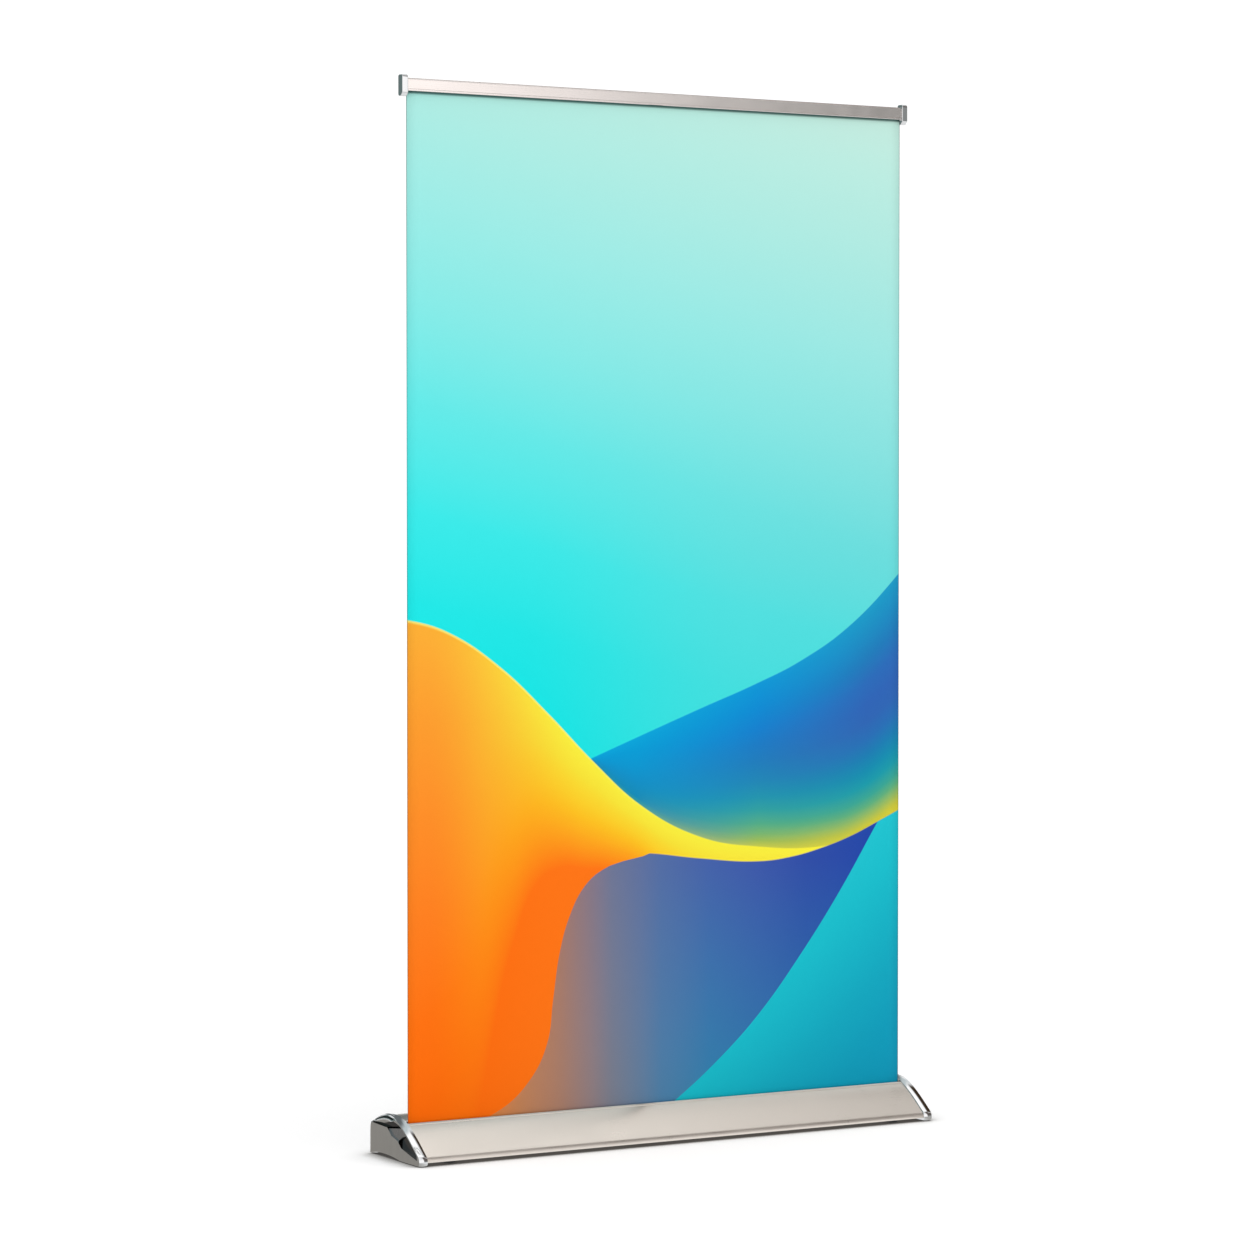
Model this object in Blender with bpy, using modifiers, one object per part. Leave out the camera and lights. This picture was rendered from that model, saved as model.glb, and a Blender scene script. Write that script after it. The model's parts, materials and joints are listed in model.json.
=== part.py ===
"""Roll-up banner stand with a sprung roller, a snap-open top rail and a telescopic pole.

Metres, +Z up. The origin is on the floor under the middle of the base. Lengths named
*_Y are measured from the plane of the hanging film, and the front of the stand is -Y.
"""
import math

import bmesh
import bpy

# ---------------------------------------------------------------- driving dimensions
GAP = 0.0003                     # left between pieces that touch
ROUND_STEPS = 32                 # sides of a large turned part
SMALL_STEPS = 20                 # sides of a stud or shaft
SCREW_STEPS = 16

# printed film
FILM_WIDTH = 1.200
FILM_THICKNESS = 0.0005
FILM_HALF = FILM_WIDTH / 2

# base: side outline (distance from the film plane, height) and extruded skins
HOOD_TOE = (-0.0915, 0.0225)
HOOD_CREST = (0.0450, 0.0902)
HOOD_HEEL = (0.1246, 0.0660)
FRONT_PULLS = ((-0.0515, 0.0530), (-0.0040, 0.0902))
REAR_PULLS = ((0.0750, 0.0902), (0.1050, 0.0770))
CAP_BOTTOM = 0.0010
BASE_HALF = 0.6035               # half the length of the extruded skins
SKIN = 0.0018                    # their wall
SKIN_INSET = 0.0030              # how far they lie inside the end caps' outline
FLOOR_WALL = 0.0100              # underside of the housing's bottom wall
FLOOR_TOP = FLOOR_WALL + SKIN
HOUSING_FRONT_Y = -0.0800
HOUSING_REAR_Y = HOOD_HEEL[0] - SKIN_INSET
SLOT_FRONT_Y = -0.0060
SLOT_REAR_Y = 0.0045
SLOT_DROP = 0.0670               # how far down the slot's two lips reach

# base ends
PLATE_IN = 0.6008
PLATE_OUT = 0.6030
CAP_IN = 0.6038
CAP_OUT = 0.6237
CAP_CAVITY = 0.6130              # end of the hollow inside a cap
SCOOP_FLOOR = 0.6155             # floor of the scoop in a cap's outer side
SCREW_SPOTS = ((0.1156, 0.0600), (0.1156, 0.0160), (-0.0480, 0.0160))
BOSS_RADIUS = 0.0052
BOSS_BORE = 0.0022
SCREW_RADIUS = 0.0019
SCREW_CLEARANCE = 0.0026
SCREW_LENGTH = 0.0180
SCREW_HEAD_RADIUS = 0.0036
SCREW_HEAD_HEIGHT = 0.0022

# roller
ROLLER_Y = -0.0175
ROLLER_Z = 0.0360
TUBE_RADIUS = 0.0160
TUBE_BORE = 0.0148
TUBE_HALF = FILM_HALF - 0.0015
WOUND_RADIUS = 0.0169
SHAFT_RADIUS = 0.0040
SHAFT_END = PLATE_OUT + 0.0045
SHAFT_CHAMFER = 0.0005
PLUG_LENGTH = 0.0200
PLUG_FLANGE = 0.0014
COIL_TURNS = 14
COIL_POINTS = 10                 # per turn
COIL_RADIUS = 0.0080
COIL_WIRE = 0.0011
COIL_SPAN = (-0.5740, -0.3560)
COLLAR_SPAN = (-0.3520, -0.3400)
COLLAR_RADIUS = 0.0100
SPRING_SHAFT_END = -0.3300

# top rail, heights measured from its underside
RAIL_FOOT = 2.170
RAIL_HEIGHT = 0.0260
RAIL_FRONT_Y = -0.0085
RAIL_REAR_Y = 0.0085
RAIL_WALL = 0.0020
RAIL_HINGE = (-0.0053, 0.0218)
RAIL_GROOVE = 0.0031             # radius of the groove that holds the flap's bead
RAIL_BEAD = 0.0027
RAIL_LEDGE = 0.0194              # ceiling of the space that holds the film
RAIL_LIP = 0.0009
RAIL_CAP_WIDTH = 0.0132
RAIL_CAP_LOW = -0.0110
RAIL_CAP_HIGH = RAIL_HEIGHT + 0.0065
RAIL_CAP_FRONT_Y = RAIL_FRONT_Y - 0.0018
RAIL_CAP_REAR_Y = RAIL_REAR_Y + 0.0005
BRACKET_EAR = (0.0190, 0.0215)   # inner and outer face of an ear
BRACKET_REACH_Y = 0.0215
BRACKET_SPAN = (0.0020, 0.0240)

# telescopic pole
POLE_Y = 0.0300
POLE_FOOT = 0.0156
LOWER_RADIUS = 0.0125
MIDDLE_RADIUS = 0.0109
UPPER_RADIUS = 0.0093
POLE_WALL = 0.0012
LOWER_TOP = 0.800
MIDDLE_SPAN = (0.700, 1.470)
UPPER_SPAN = (1.370, 2.120)
PLUG_HEAD = 0.0030
PLUG_TOP = 0.0400
SLIDING_FIT = 0.0004
LOCK_HEIGHT = 0.0505
LOCK_DROP = 0.0350               # how far a collar reaches below the top of its tube
HEAD_RADIUS = 0.0140
HEAD_HEIGHT = 0.0340
HEAD_SPIGOT = 0.0300
TONGUE_HALF = 0.0110
TONGUE_TOP = 0.0300              # above the head
SOCKET_RADIUS = 0.0172
SOCKET_TOP = 0.0895

# levelling feet
FOOT_X = 0.540
FOOT_SPOTS = [(x, y) for y in (-0.066, 0.100) for x in (-FOOT_X, FOOT_X)]
PAD_RADIUS = 0.0125
PAD_HEIGHT = 0.0055
STUD_RADIUS = 0.0040
STUD_TOP = 0.0300
STUD_FLANGE = 0.0065
STUD_FLANGE_HEIGHT = 0.0014
NUT_RADIUS = 0.0075              # to a corner of the hexagon
NUT_HEIGHT = 0.0065

# ---------------------------------------------------------------- scene and materials
for item in list(bpy.data.objects):
    bpy.data.objects.remove(item, do_unlink=True)

parts = bpy.data.collections.new("banner_stand")
cutters = bpy.data.collections.new("cutters")
bpy.context.scene.collection.children.link(parts)
bpy.context.scene.collection.children.link(cutters)


def material(name, color, roughness, metallic):
    """A Principled material of one colour."""
    made = bpy.data.materials.new(name)
    made.use_nodes = True
    shader = made.node_tree.nodes["Principled BSDF"]
    shader.inputs["Base Color"].default_value = (*color, 1.0)
    shader.inputs["Roughness"].default_value = roughness
    shader.inputs["Metallic"].default_value = metallic
    return made


SATIN = material("satin_aluminium", (0.80, 0.76, 0.71), 0.32, 1.0)
CHROME = material("chrome", (0.80, 0.81, 0.82), 0.06, 1.0)
STEEL = material("zinc_steel", (0.56, 0.57, 0.58), 0.30, 1.0)
SPRING = material("spring_steel", (0.30, 0.30, 0.32), 0.35, 1.0)
PLASTIC = material("black_plastic", (0.03, 0.03, 0.032), 0.45, 0.0)
RUBBER = material("black_rubber", (0.02, 0.02, 0.02), 0.80, 0.0)
PRINT = material("printed_film", (0.10, 0.80, 0.82), 0.35, 0.0)

ALONG_X = (0, math.radians(90), 0)                   # turned part: its axis along +X
ALONG_MINUS_X = (0, math.radians(-90), 0)
OUTLINE_YZ = (math.radians(90), 0, math.radians(90))    # prism: outline in (Y, Z), depth along X


# ---------------------------------------------------------------- helpers
def empty(name, location, parent=None):
    """An empty that marks a joint's axis or the frame of a group."""
    made = bpy.data.objects.new(name, None)
    made.location = location
    made.parent = parent
    parts.objects.link(made)
    return made


def add(name, data, look, parent, location=(0, 0, 0), rotation=(0, 0, 0)):
    """A named part in the parts collection, with its material."""
    made = bpy.data.objects.new(name, data)
    made.location = location
    made.rotation_euler = rotation
    made.parent = parent
    if look is not None:
        data.materials.append(look)
    parts.objects.link(made)
    return made


def cubic(corners, t):
    """Point on a cubic curve through its four control points."""
    weights = ((1 - t) ** 3, 3 * t * (1 - t) ** 2, 3 * t * t * (1 - t), t ** 3)
    return tuple(sum(w * corner[k] for w, corner in zip(weights, corners)) for k in (0, 1))


def bezier(corners, steps):
    """Points along a cubic curve, both ends included."""
    return [cubic(corners, i / steps) for i in range(steps + 1)]


def arc(center, radius, start_deg, end_deg, steps):
    """Points along a circular arc, both ends included."""
    points = []
    for i in range(steps + 1):
        angle = math.radians(start_deg + (end_deg - start_deg) * i / steps)
        points.append((center[0] + radius * math.cos(angle), center[1] + radius * math.sin(angle)))
    return points


def prism_mesh(name, loops, depth):
    """Closed prism of a flat outline in local XY, from 0 to depth along local Z."""
    curve = bpy.data.curves.new(name, "CURVE")
    curve.dimensions = "2D"
    curve.fill_mode = "BOTH"
    curve.extrude = depth / 2
    for loop in loops:
        spline = curve.splines.new("POLY")
        spline.points.add(len(loop) - 1)
        for point, (u, v) in zip(spline.points, loop):
            point.co = (u, v, 0, 1)
        spline.use_cyclic_u = True
    holder = bpy.data.objects.new(name, curve)
    parts.objects.link(holder)
    view = bpy.context.evaluated_depsgraph_get()
    mesh = bpy.data.meshes.new_from_object(holder.evaluated_get(view))
    bpy.data.objects.remove(holder)
    bpy.data.curves.remove(curve)
    work = bmesh.new()
    work.from_mesh(mesh)
    bmesh.ops.remove_doubles(work, verts=work.verts, dist=1e-6)
    bmesh.ops.recalc_face_normals(work, faces=work.faces)
    bmesh.ops.translate(work, verts=work.verts, vec=(0, 0, depth / 2))
    work.to_mesh(mesh)
    work.free()
    return mesh


def prism_x(name, loops, span, look, parent):
    """Prism whose outline is in (Y, Z), between the two X positions of a span."""
    low, high = sorted(span)
    return add(name, prism_mesh(name, loops, high - low), look, parent, (low, 0, 0), OUTLINE_YZ)


def turned(name, profile, look, parent, place=(0, 0, 0), turn=(0, 0, 0), steps=ROUND_STEPS, closed=False):
    """Turned part: a profile of (radius, height) points swept round local Z."""
    mesh = bpy.data.meshes.new(name)
    work = bmesh.new()
    verts = [work.verts.new((radius, 0, height)) for radius, height in profile]
    for pair in zip(verts, verts[1:]):
        work.edges.new(pair)
    if closed:
        work.edges.new((verts[-1], verts[0]))
    work.to_mesh(mesh)
    work.free()
    made = add(name, mesh, look, parent, place, turn)
    sweep = made.modifiers.new("turn", "SCREW")
    sweep.axis = "Z"
    sweep.steps = steps
    sweep.render_steps = steps
    sweep.use_merge_vertices = True
    sweep.merge_threshold = 0.0001
    sweep.use_smooth_shade = True
    return made


def tube(name, outer, inner, span, look, parent, turn=(0, 0, 0), steps=ROUND_STEPS):
    """Straight tube or washer between two heights on its axis."""
    low, high = span
    profile = [(outer, high), (outer, low), (inner, low), (inner, high)]
    return turned(name, profile, look, parent, turn=turn, steps=steps, closed=True)


def bar(name, radius, span, look, parent, place=(0, 0, 0), turn=(0, 0, 0), steps=ROUND_STEPS, chamfer=0.0):
    """Solid round bar between two heights on its axis, with an optional chamfer at both ends."""
    low, high = span
    profile = [(0, high), (radius - chamfer, high)]
    if chamfer:
        profile += [(radius, high - chamfer), (radius, low + chamfer)]
    profile += [(radius - chamfer, low), (0, low)]
    return turned(name, profile, look, parent, place, turn, steps)


def box(name, low, high, look, parent):
    """Box between two corners."""
    mesh = bpy.data.meshes.new(name)
    work = bmesh.new()
    bmesh.ops.create_cube(work, size=1.0)
    bmesh.ops.scale(work, verts=work.verts, vec=[b - a for a, b in zip(low, high)])
    work.to_mesh(mesh)
    work.free()
    return add(name, mesh, look, parent, [(a + b) / 2 for a, b in zip(low, high)])


def combine(target, tool, operation):
    """Boolean of a part with a construction shape, which is then left out of the model."""
    if tool.name not in cutters.objects:
        parts.objects.unlink(tool)
        cutters.objects.link(tool)
        tool.hide_render = True
        tool.display_type = "WIRE"
    step = target.modifiers.new(tool.name, "BOOLEAN")
    step.operation = operation
    step.solver = "EXACT"
    step.object = tool


# ---------------------------------------------------------------- side outline of the base
def hood_point(t, inset=0.0):
    """Point on the hood, t 0 to 1 from toe to crest and 1 to 2 from crest to heel."""
    if t <= 1:
        corners = (HOOD_TOE, *FRONT_PULLS, HOOD_CREST)
    else:
        corners = (HOOD_CREST, *REAR_PULLS, HOOD_HEEL)
        t = t - 1
    y, z = cubic(corners, t)
    slopes = (-3 * (1 - t) ** 2, 3 * (1 - t) * (1 - 3 * t), 3 * t * (2 - 3 * t), 3 * t * t)
    dy, dz = (sum(w * corner[k] for w, corner in zip(slopes, corners)) for k in (0, 1))
    length = math.hypot(dy, dz)
    return y + inset * dz / length, z - inset * dy / length


def hood_height(y, inset):
    """Height of the hood, moved in by inset, at a distance from the film plane."""
    low, high = 0.0, 2.0
    for _ in range(40):
        middle = (low + high) / 2
        if hood_point(middle, inset)[0] < y:
            low = middle
        else:
            high = middle
    return hood_point(low, inset)[1]


def hood_run(y0, y1, inset, steps):
    """Points along the hood between two distances from the film plane."""
    spots = [y0 + (y1 - y0) * i / steps for i in range(steps + 1)]
    return [(y, hood_height(y, inset)) for y in spots]


def cap_outline():
    """Whole side outline of an end cap: round toe, hood, upright heel, arched underside."""
    toe_start = (-0.0920, CAP_BOTTOM)
    toe = bezier((toe_start, (-0.1005, CAP_BOTTOM), (-0.1000, 0.0160), HOOD_TOE), 8)
    top = [hood_point(i / 12) for i in range(1, 25)]
    heel = (HOOD_HEEL[0], CAP_BOTTOM)
    arch_height = 0.0085
    arch_ends = ((0.1150, CAP_BOTTOM), (-0.0100, CAP_BOTTOM))
    arch = bezier((arch_ends[0], (0.0950, arch_height), (0.0350, arch_height), arch_ends[1]), 10)
    return toe + top + [heel] + arch


# The origin is under the middle of the base's depth, so the film plane is a little in front of it.
CAP_OUTLINE = cap_outline()
FILM_PLANE_Y = -(min(p[0] for p in CAP_OUTLINE) + max(p[0] for p in CAP_OUTLINE)) / 2
film_plane = empty("film_plane", (0, FILM_PLANE_Y, 0))


# ---------------------------------------------------------------- base: housing and front
def housing_shell():
    """Bent wall from the slot over the deck, down the back and forward along the floor."""
    path = [(SLOT_REAR_Y, SLOT_DROP)] + hood_run(SLOT_REAR_Y, HOUSING_REAR_Y, SKIN_INSET, 18)
    upturn = 0.0200
    path += [(HOUSING_REAR_Y, FLOOR_WALL), (HOUSING_FRONT_Y, FLOOR_WALL), (HOUSING_FRONT_Y, upturn)]
    mesh = bpy.data.meshes.new("base_housing")
    work = bmesh.new()
    verts = [work.verts.new((-BASE_HALF, y, z)) for y, z in path]
    edges = [work.edges.new(pair) for pair in zip(verts, verts[1:])]
    grown = bmesh.ops.extrude_edge_only(work, edges=edges)["geom"]
    far_verts = [item for item in grown if isinstance(item, bmesh.types.BMVert)]
    bmesh.ops.translate(work, verts=far_verts, vec=(2 * BASE_HALF, 0, 0))
    work.normal_update()
    deck = max(work.faces, key=lambda face: face.calc_center_median().z)
    if deck.normal.z < 0:
        bmesh.ops.reverse_faces(work, faces=work.faces)
    work.to_mesh(mesh)
    work.free()
    shell = add("base_housing", mesh, SATIN, film_plane)
    wall = shell.modifiers.new("wall", "SOLIDIFY")
    wall.thickness = SKIN
    wall.offset = -1
    wall.use_even_offset = True
    return shell


def make_housing():
    """Extruded shell with screw channels, and holes for the pole socket and the feet."""
    housing = housing_shell()
    channel = PLATE_IN - GAP
    for i, (y, z) in enumerate(SCREW_SPOTS):
        boss = bar(f"boss_{i}", BOSS_RADIUS, (-channel, channel), None, film_plane, (0, y, z), ALONG_X, SCREW_STEPS)
        combine(housing, boss, "UNION")
    for i, (y, z) in enumerate(SCREW_SPOTS):
        bore = bar(f"bore_{i}", BOSS_BORE, (-BASE_HALF, BASE_HALF), None, film_plane, (0, y, z), ALONG_X, 12)
        combine(housing, bore, "DIFFERENCE")
    pole_hole = bar("pole_hole", SOCKET_RADIUS + 2 * GAP, (0.05, 0.12), None, film_plane, (0, POLE_Y, 0))
    combine(housing, pole_hole, "DIFFERENCE")
    foot_hole = STUD_RADIUS + 0.0008
    for i, (x, y) in enumerate(FOOT_SPOTS):
        hole = bar(f"foot_hole_{i}", foot_hole, (0, 2 * FLOOR_WALL), None, film_plane, (x, y, 0), steps=SMALL_STEPS)
        combine(housing, hole, "DIFFERENCE")


def make_front_panel():
    """Sloping front: a raised bead and a groove along the slot, a round lip along the floor."""
    bead_inset = 0.0022
    groove_inset = 0.0036
    bead_end = SLOT_FRONT_Y - 0.0045
    groove_end = bead_end - 0.0015
    field_end = -0.0892
    edge = 0.0002                # run of the near-upright sides of the groove
    outer = [(SLOT_FRONT_Y, SLOT_DROP), (SLOT_FRONT_Y, hood_height(SLOT_FRONT_Y, bead_inset))]
    outer += [(bead_end, hood_height(bead_end, bead_inset))]
    outer += hood_run(bead_end - edge, groove_end, groove_inset, 1)
    outer += hood_run(groove_end - edge, field_end, SKIN_INSET, 14)
    lip_foot = 0.0072
    lip = [(-0.0905, 0.0205)]
    lip += bezier(((-0.0925, 0.0197), (-0.0965, 0.0160), (-0.0965, 0.0075), (-0.0915, lip_foot)), 6)
    flange = [(HOUSING_FRONT_Y, lip_foot), (HOUSING_FRONT_Y, lip_foot + SKIN)]
    back_of_lip = [(-0.0912, lip_foot + SKIN), (-0.0932, 0.0120), (-0.0912, 0.0172)]
    inner = hood_run(-0.0870, SLOT_FRONT_Y - SKIN, SKIN_INSET + SKIN, 12)
    loop = outer + lip + flange + back_of_lip + inner + [(SLOT_FRONT_Y - SKIN, SLOT_DROP)]
    prism_x("front_panel", [loop], (-BASE_HALF, BASE_HALF), SATIN, film_plane)


def make_end_plate(side, sign):
    """Steel plate inside the housing's end, which holds the roller and takes the screws."""
    inset = SKIN_INSET + SKIN + 0.0010
    front, rear, foot = -0.0775, 0.1192, FLOOR_TOP + 0.0007
    slot = 0.0025                # clearance round the slot's two lips
    notch = [(SLOT_FRONT_Y - slot, SLOT_DROP - 0.0015), (SLOT_REAR_Y + slot, SLOT_DROP - 0.0015)]
    outline = hood_run(front, notch[0][0], inset, 10) + notch
    outline += hood_run(notch[1][0], rear, inset, 14) + [(rear, foot), (front, foot)]
    plate = prism_x(f"end_plate_{side}", [outline], (sign * PLATE_IN, sign * PLATE_OUT), STEEL, film_plane)
    middle = sign * (PLATE_IN + PLATE_OUT) / 2
    through = (-0.004, 0.004)
    for i, (y, z) in enumerate(SCREW_SPOTS):
        hole = bar(f"plate_hole_{side}_{i}", SCREW_CLEARANCE, through, None, film_plane, (middle, y, z), ALONG_X,
                   SCREW_STEPS)
        combine(plate, hole, "DIFFERENCE")
    hole = bar(f"shaft_hole_{side}", SHAFT_RADIUS + GAP, through, None, film_plane, (middle, ROLLER_Y, ROLLER_Z),
               ALONG_X, SMALL_STEPS)
    combine(plate, hole, "DIFFERENCE")


def make_end_cap(side, sign):
    """Chromed cap over the housing's end: hollow inside, scooped out above a blade outside."""
    cap = prism_x(f"end_cap_{side}", [CAP_OUTLINE], (sign * CAP_IN, sign * CAP_OUT), CHROME, film_plane)
    front, rear, foot = -0.0800, 0.1204, 0.0120
    hollow = hood_run(front, rear, 0.0050, 16) + [(rear, foot), (front, foot)]
    past = 0.002                 # how far a cutter runs past the face it opens
    cavity = prism_x(f"cap_cavity_{side}", [hollow], (sign * (CAP_IN - past), sign * CAP_CAVITY), None, film_plane)
    combine(cap, cavity, "DIFFERENCE")
    rim = [hood_point(0.02 + 0.06 * i, 0.0022) for i in range(12)]
    brow = hood_run(0.0180, 0.0960, 0.0085, 8)
    blade = [(0.0960, 0.0655), (0.0520, 0.0608), (-0.0155, 0.0300), (-0.0444, 0.0205), (-0.0870, 0.0125)]
    span = (sign * SCOOP_FLOOR, sign * (CAP_OUT + past))
    combine(cap, prism_x(f"cap_scoop_{side}", [rim + brow + blade], span, None, film_plane), "DIFFERENCE")


def make_end_screws(side, sign):
    """Three pan-head screws through the end plate into the housing's channels."""
    round_over = 0.0008
    profile = [(0, SCREW_HEAD_HEIGHT), (SCREW_HEAD_RADIUS - round_over, SCREW_HEAD_HEIGHT),
               (SCREW_HEAD_RADIUS, SCREW_HEAD_HEIGHT - round_over), (SCREW_HEAD_RADIUS, 0),
               (SCREW_RADIUS, 0), (SCREW_RADIUS, -SCREW_LENGTH), (0, -SCREW_LENGTH)]
    turn = ALONG_X if sign > 0 else ALONG_MINUS_X
    for i, (y, z) in enumerate(SCREW_SPOTS, start=1):
        place = (sign * (PLATE_OUT + GAP), y, z)
        turned(f"end_screw_{side}_{i}", profile, STEEL, film_plane, place, turn, SCREW_STEPS)


def make_ends():
    """Both ends of the base."""
    for side, sign in (("left", -1), ("right", 1)):
        make_end_plate(side, sign)
        make_end_cap(side, sign)
        make_end_screws(side, sign)


# ---------------------------------------------------------------- base: pole socket and feet
def make_socket():
    """Deep cup that the pole stands in, from the bottom wall up through the deck."""
    bottom = FLOOR_TOP + GAP
    floor = POLE_FOOT - GAP
    bore = LOWER_RADIUS + SLIDING_FIT
    chamfer = 0.001
    profile = [(0, floor), (bore, floor), (bore, SOCKET_TOP - chamfer), (bore + chamfer, SOCKET_TOP),
               (SOCKET_RADIUS - chamfer, SOCKET_TOP), (SOCKET_RADIUS, SOCKET_TOP - chamfer),
               (SOCKET_RADIUS, bottom), (0, bottom)]
    turned("pole_socket", profile, PLASTIC, film_plane, (0, POLE_Y, 0))


def make_foot(number, x, y):
    """Levelling foot: rubber pad, flanged stud, and the nut above the bottom wall."""
    axis = empty(f"foot_axis_{number}", (x, y, 0), film_plane)
    slope = 0.0020
    toe = 0.0008
    pad = [(0, PAD_HEIGHT), (PAD_RADIUS - slope, PAD_HEIGHT), (PAD_RADIUS, PAD_HEIGHT - slope),
           (PAD_RADIUS, toe), (PAD_RADIUS - toe, 0), (0, 0)]
    turned(f"foot_pad_{number}", pad, RUBBER, axis)
    low = PAD_HEIGHT + GAP
    flange_top = low + STUD_FLANGE_HEIGHT
    stud = [(0, STUD_TOP), (STUD_RADIUS - toe, STUD_TOP), (STUD_RADIUS, STUD_TOP - toe),
            (STUD_RADIUS, flange_top), (STUD_FLANGE, flange_top), (STUD_FLANGE, low), (0, low)]
    turned(f"foot_stud_{number}", stud, STEEL, axis, steps=SMALL_STEPS)
    hexagon = arc((0, 0), NUT_RADIUS, 0, 300, 5)
    nut_mesh = prism_mesh(f"foot_nut_{number}", [hexagon], NUT_HEIGHT)
    nut = add(f"foot_nut_{number}", nut_mesh, STEEL, axis, (0, 0, FLOOR_TOP + GAP))
    bore = bar(f"nut_bore_{number}", STUD_RADIUS + GAP, (0, STUD_TOP), None, axis, steps=SMALL_STEPS)
    combine(nut, bore, "DIFFERENCE")


def make_feet():
    """Four feet near the corners of the base."""
    for number, (x, y) in enumerate(FOOT_SPOTS, start=1):
        make_foot(number, x, y)


# ---------------------------------------------------------------- roller
def make_spring(axis):
    """Torsion spring wound round the fixed shaft, inside the roller tube."""
    curve = bpy.data.curves.new("torsion_spring", "CURVE")
    curve.dimensions = "3D"
    curve.bevel_depth = COIL_WIRE
    curve.bevel_resolution = 1
    curve.use_fill_caps = True
    spline = curve.splines.new("POLY")
    last = COIL_TURNS * COIL_POINTS
    spline.points.add(last)
    start, end = COIL_SPAN
    for i, point in enumerate(spline.points):
        angle = 2 * math.pi * i / COIL_POINTS
        x = start + (end - start) * i / last
        point.co = (x, COIL_RADIUS * math.cos(angle), COIL_RADIUS * math.sin(angle), 1)
    add("torsion_spring", curve, SPRING, axis)


def make_roller():
    """Roller tube with its end plugs and wound film, the fixed shaft and the idler pin."""
    axis = empty("roller_axis", (0, ROLLER_Y, ROLLER_Z), film_plane)
    tube("roller_tube", TUBE_RADIUS, TUBE_BORE, (-TUBE_HALF, TUBE_HALF), SATIN, axis, ALONG_X)
    wound_half = FILM_HALF - 0.0005
    tube("wound_graphic", WOUND_RADIUS, TUBE_RADIUS + GAP, (-wound_half, wound_half), PRINT, axis, ALONG_X)

    bore = SHAFT_RADIUS + GAP
    flange = TUBE_HALF + GAP
    flange_radius = TUBE_RADIUS - 0.0005
    plug = [(flange_radius, flange + PLUG_FLANGE), (flange_radius, flange), (TUBE_BORE - GAP, flange),
            (TUBE_BORE - GAP, flange - PLUG_LENGTH), (bore, flange - PLUG_LENGTH), (bore, flange + PLUG_FLANGE)]
    turned("roller_plug_right", plug, PLASTIC, axis, turn=ALONG_X, closed=True)
    turned("roller_plug_left", plug, PLASTIC, axis, turn=ALONG_MINUS_X, closed=True)

    pin_start = TUBE_HALF - PLUG_LENGTH
    bar("idler_pin", SHAFT_RADIUS, (pin_start, SHAFT_END), STEEL, axis, turn=ALONG_X, steps=SMALL_STEPS,
        chamfer=SHAFT_CHAMFER)
    bar("spring_shaft", SHAFT_RADIUS, (-SHAFT_END, SPRING_SHAFT_END), STEEL, axis, turn=ALONG_X, steps=SMALL_STEPS,
        chamfer=SHAFT_CHAMFER)
    tube("spring_collar", COLLAR_RADIUS, bore, COLLAR_SPAN, PLASTIC, axis, ALONG_X, SMALL_STEPS)
    make_spring(axis)


# ---------------------------------------------------------------- film and top rail
def make_rail_body(rail):
    """Back of the rail: a hollow extrusion with a round groove for the flap's bead."""
    groove = arc(RAIL_HINGE, RAIL_GROOVE, 100, -50, 10)
    film_side = 0.0010
    outline = [(RAIL_REAR_Y, 0), (RAIL_REAR_Y, RAIL_HEIGHT), (groove[0][0], RAIL_HEIGHT)] + groove
    outline += [(film_side, RAIL_LEDGE), (film_side, 0)]
    front, rear, foot, top = 0.0028, 0.0068, 0.0025, 0.0165
    hollow = [(front, foot), (rear, foot), (rear, top), (front, top)]
    prism_x("rail_back", [outline, hollow], (-FILM_HALF, FILM_HALF), SATIN, rail)


def make_rail_flap(rail):
    """Snap-open front of the rail with the rubber strip that grips the film."""
    hinge = empty("rail_hinge", (0, *RAIL_HINGE), rail)
    face = RAIL_FRONT_Y - RAIL_HINGE[0]
    foot = -RAIL_HINGE[1]
    inside = face + RAIL_WALL
    outline = arc((0, 0), RAIL_BEAD, -80, 130, 10) + [(face, 0.0010)]
    outline += [(face, foot + 0.0038), (face - RAIL_LIP, foot + 0.0030), (face - RAIL_LIP, foot)]
    outline += [(inside, foot), (inside, -0.0045)]
    prism_x("rail_front_clamp", [outline], (-FILM_HALF, FILM_HALF), SATIN, hinge)
    grip = 0.0007                # from the film plane
    half = FILM_HALF - 0.0020
    low = (-half, inside + GAP, foot + 0.0040)
    high = (half, -RAIL_HINGE[0] - grip, foot + 0.0080)
    box("rail_gasket", low, high, RUBBER, hinge)


def make_rail_caps(rail):
    """End caps of the rail, which stand above and below it: round shoulders, sloping foot."""
    shoulder_rear = 0.0040
    shoulder_front = 0.0060
    slope = 0.0070
    outline = [(RAIL_CAP_REAR_Y, RAIL_CAP_LOW + 0.004)]
    outline += arc((RAIL_CAP_REAR_Y - shoulder_rear, RAIL_CAP_HIGH - shoulder_rear), shoulder_rear, 0, 90, 4)
    outline += arc((RAIL_CAP_FRONT_Y + shoulder_front, RAIL_CAP_HIGH - shoulder_front), shoulder_front, 90, 180, 6)
    outline += [(RAIL_CAP_FRONT_Y, RAIL_CAP_LOW + slope), (RAIL_CAP_FRONT_Y + slope, RAIL_CAP_LOW)]
    outline += [(RAIL_CAP_REAR_Y - 0.003, RAIL_CAP_LOW)]
    inner = FILM_HALF + GAP
    for side, sign in (("left", -1), ("right", 1)):
        prism_x(f"rail_cap_{side}", [outline], (sign * inner, sign * (inner + RAIL_CAP_WIDTH)), CHROME, rail)


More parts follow.
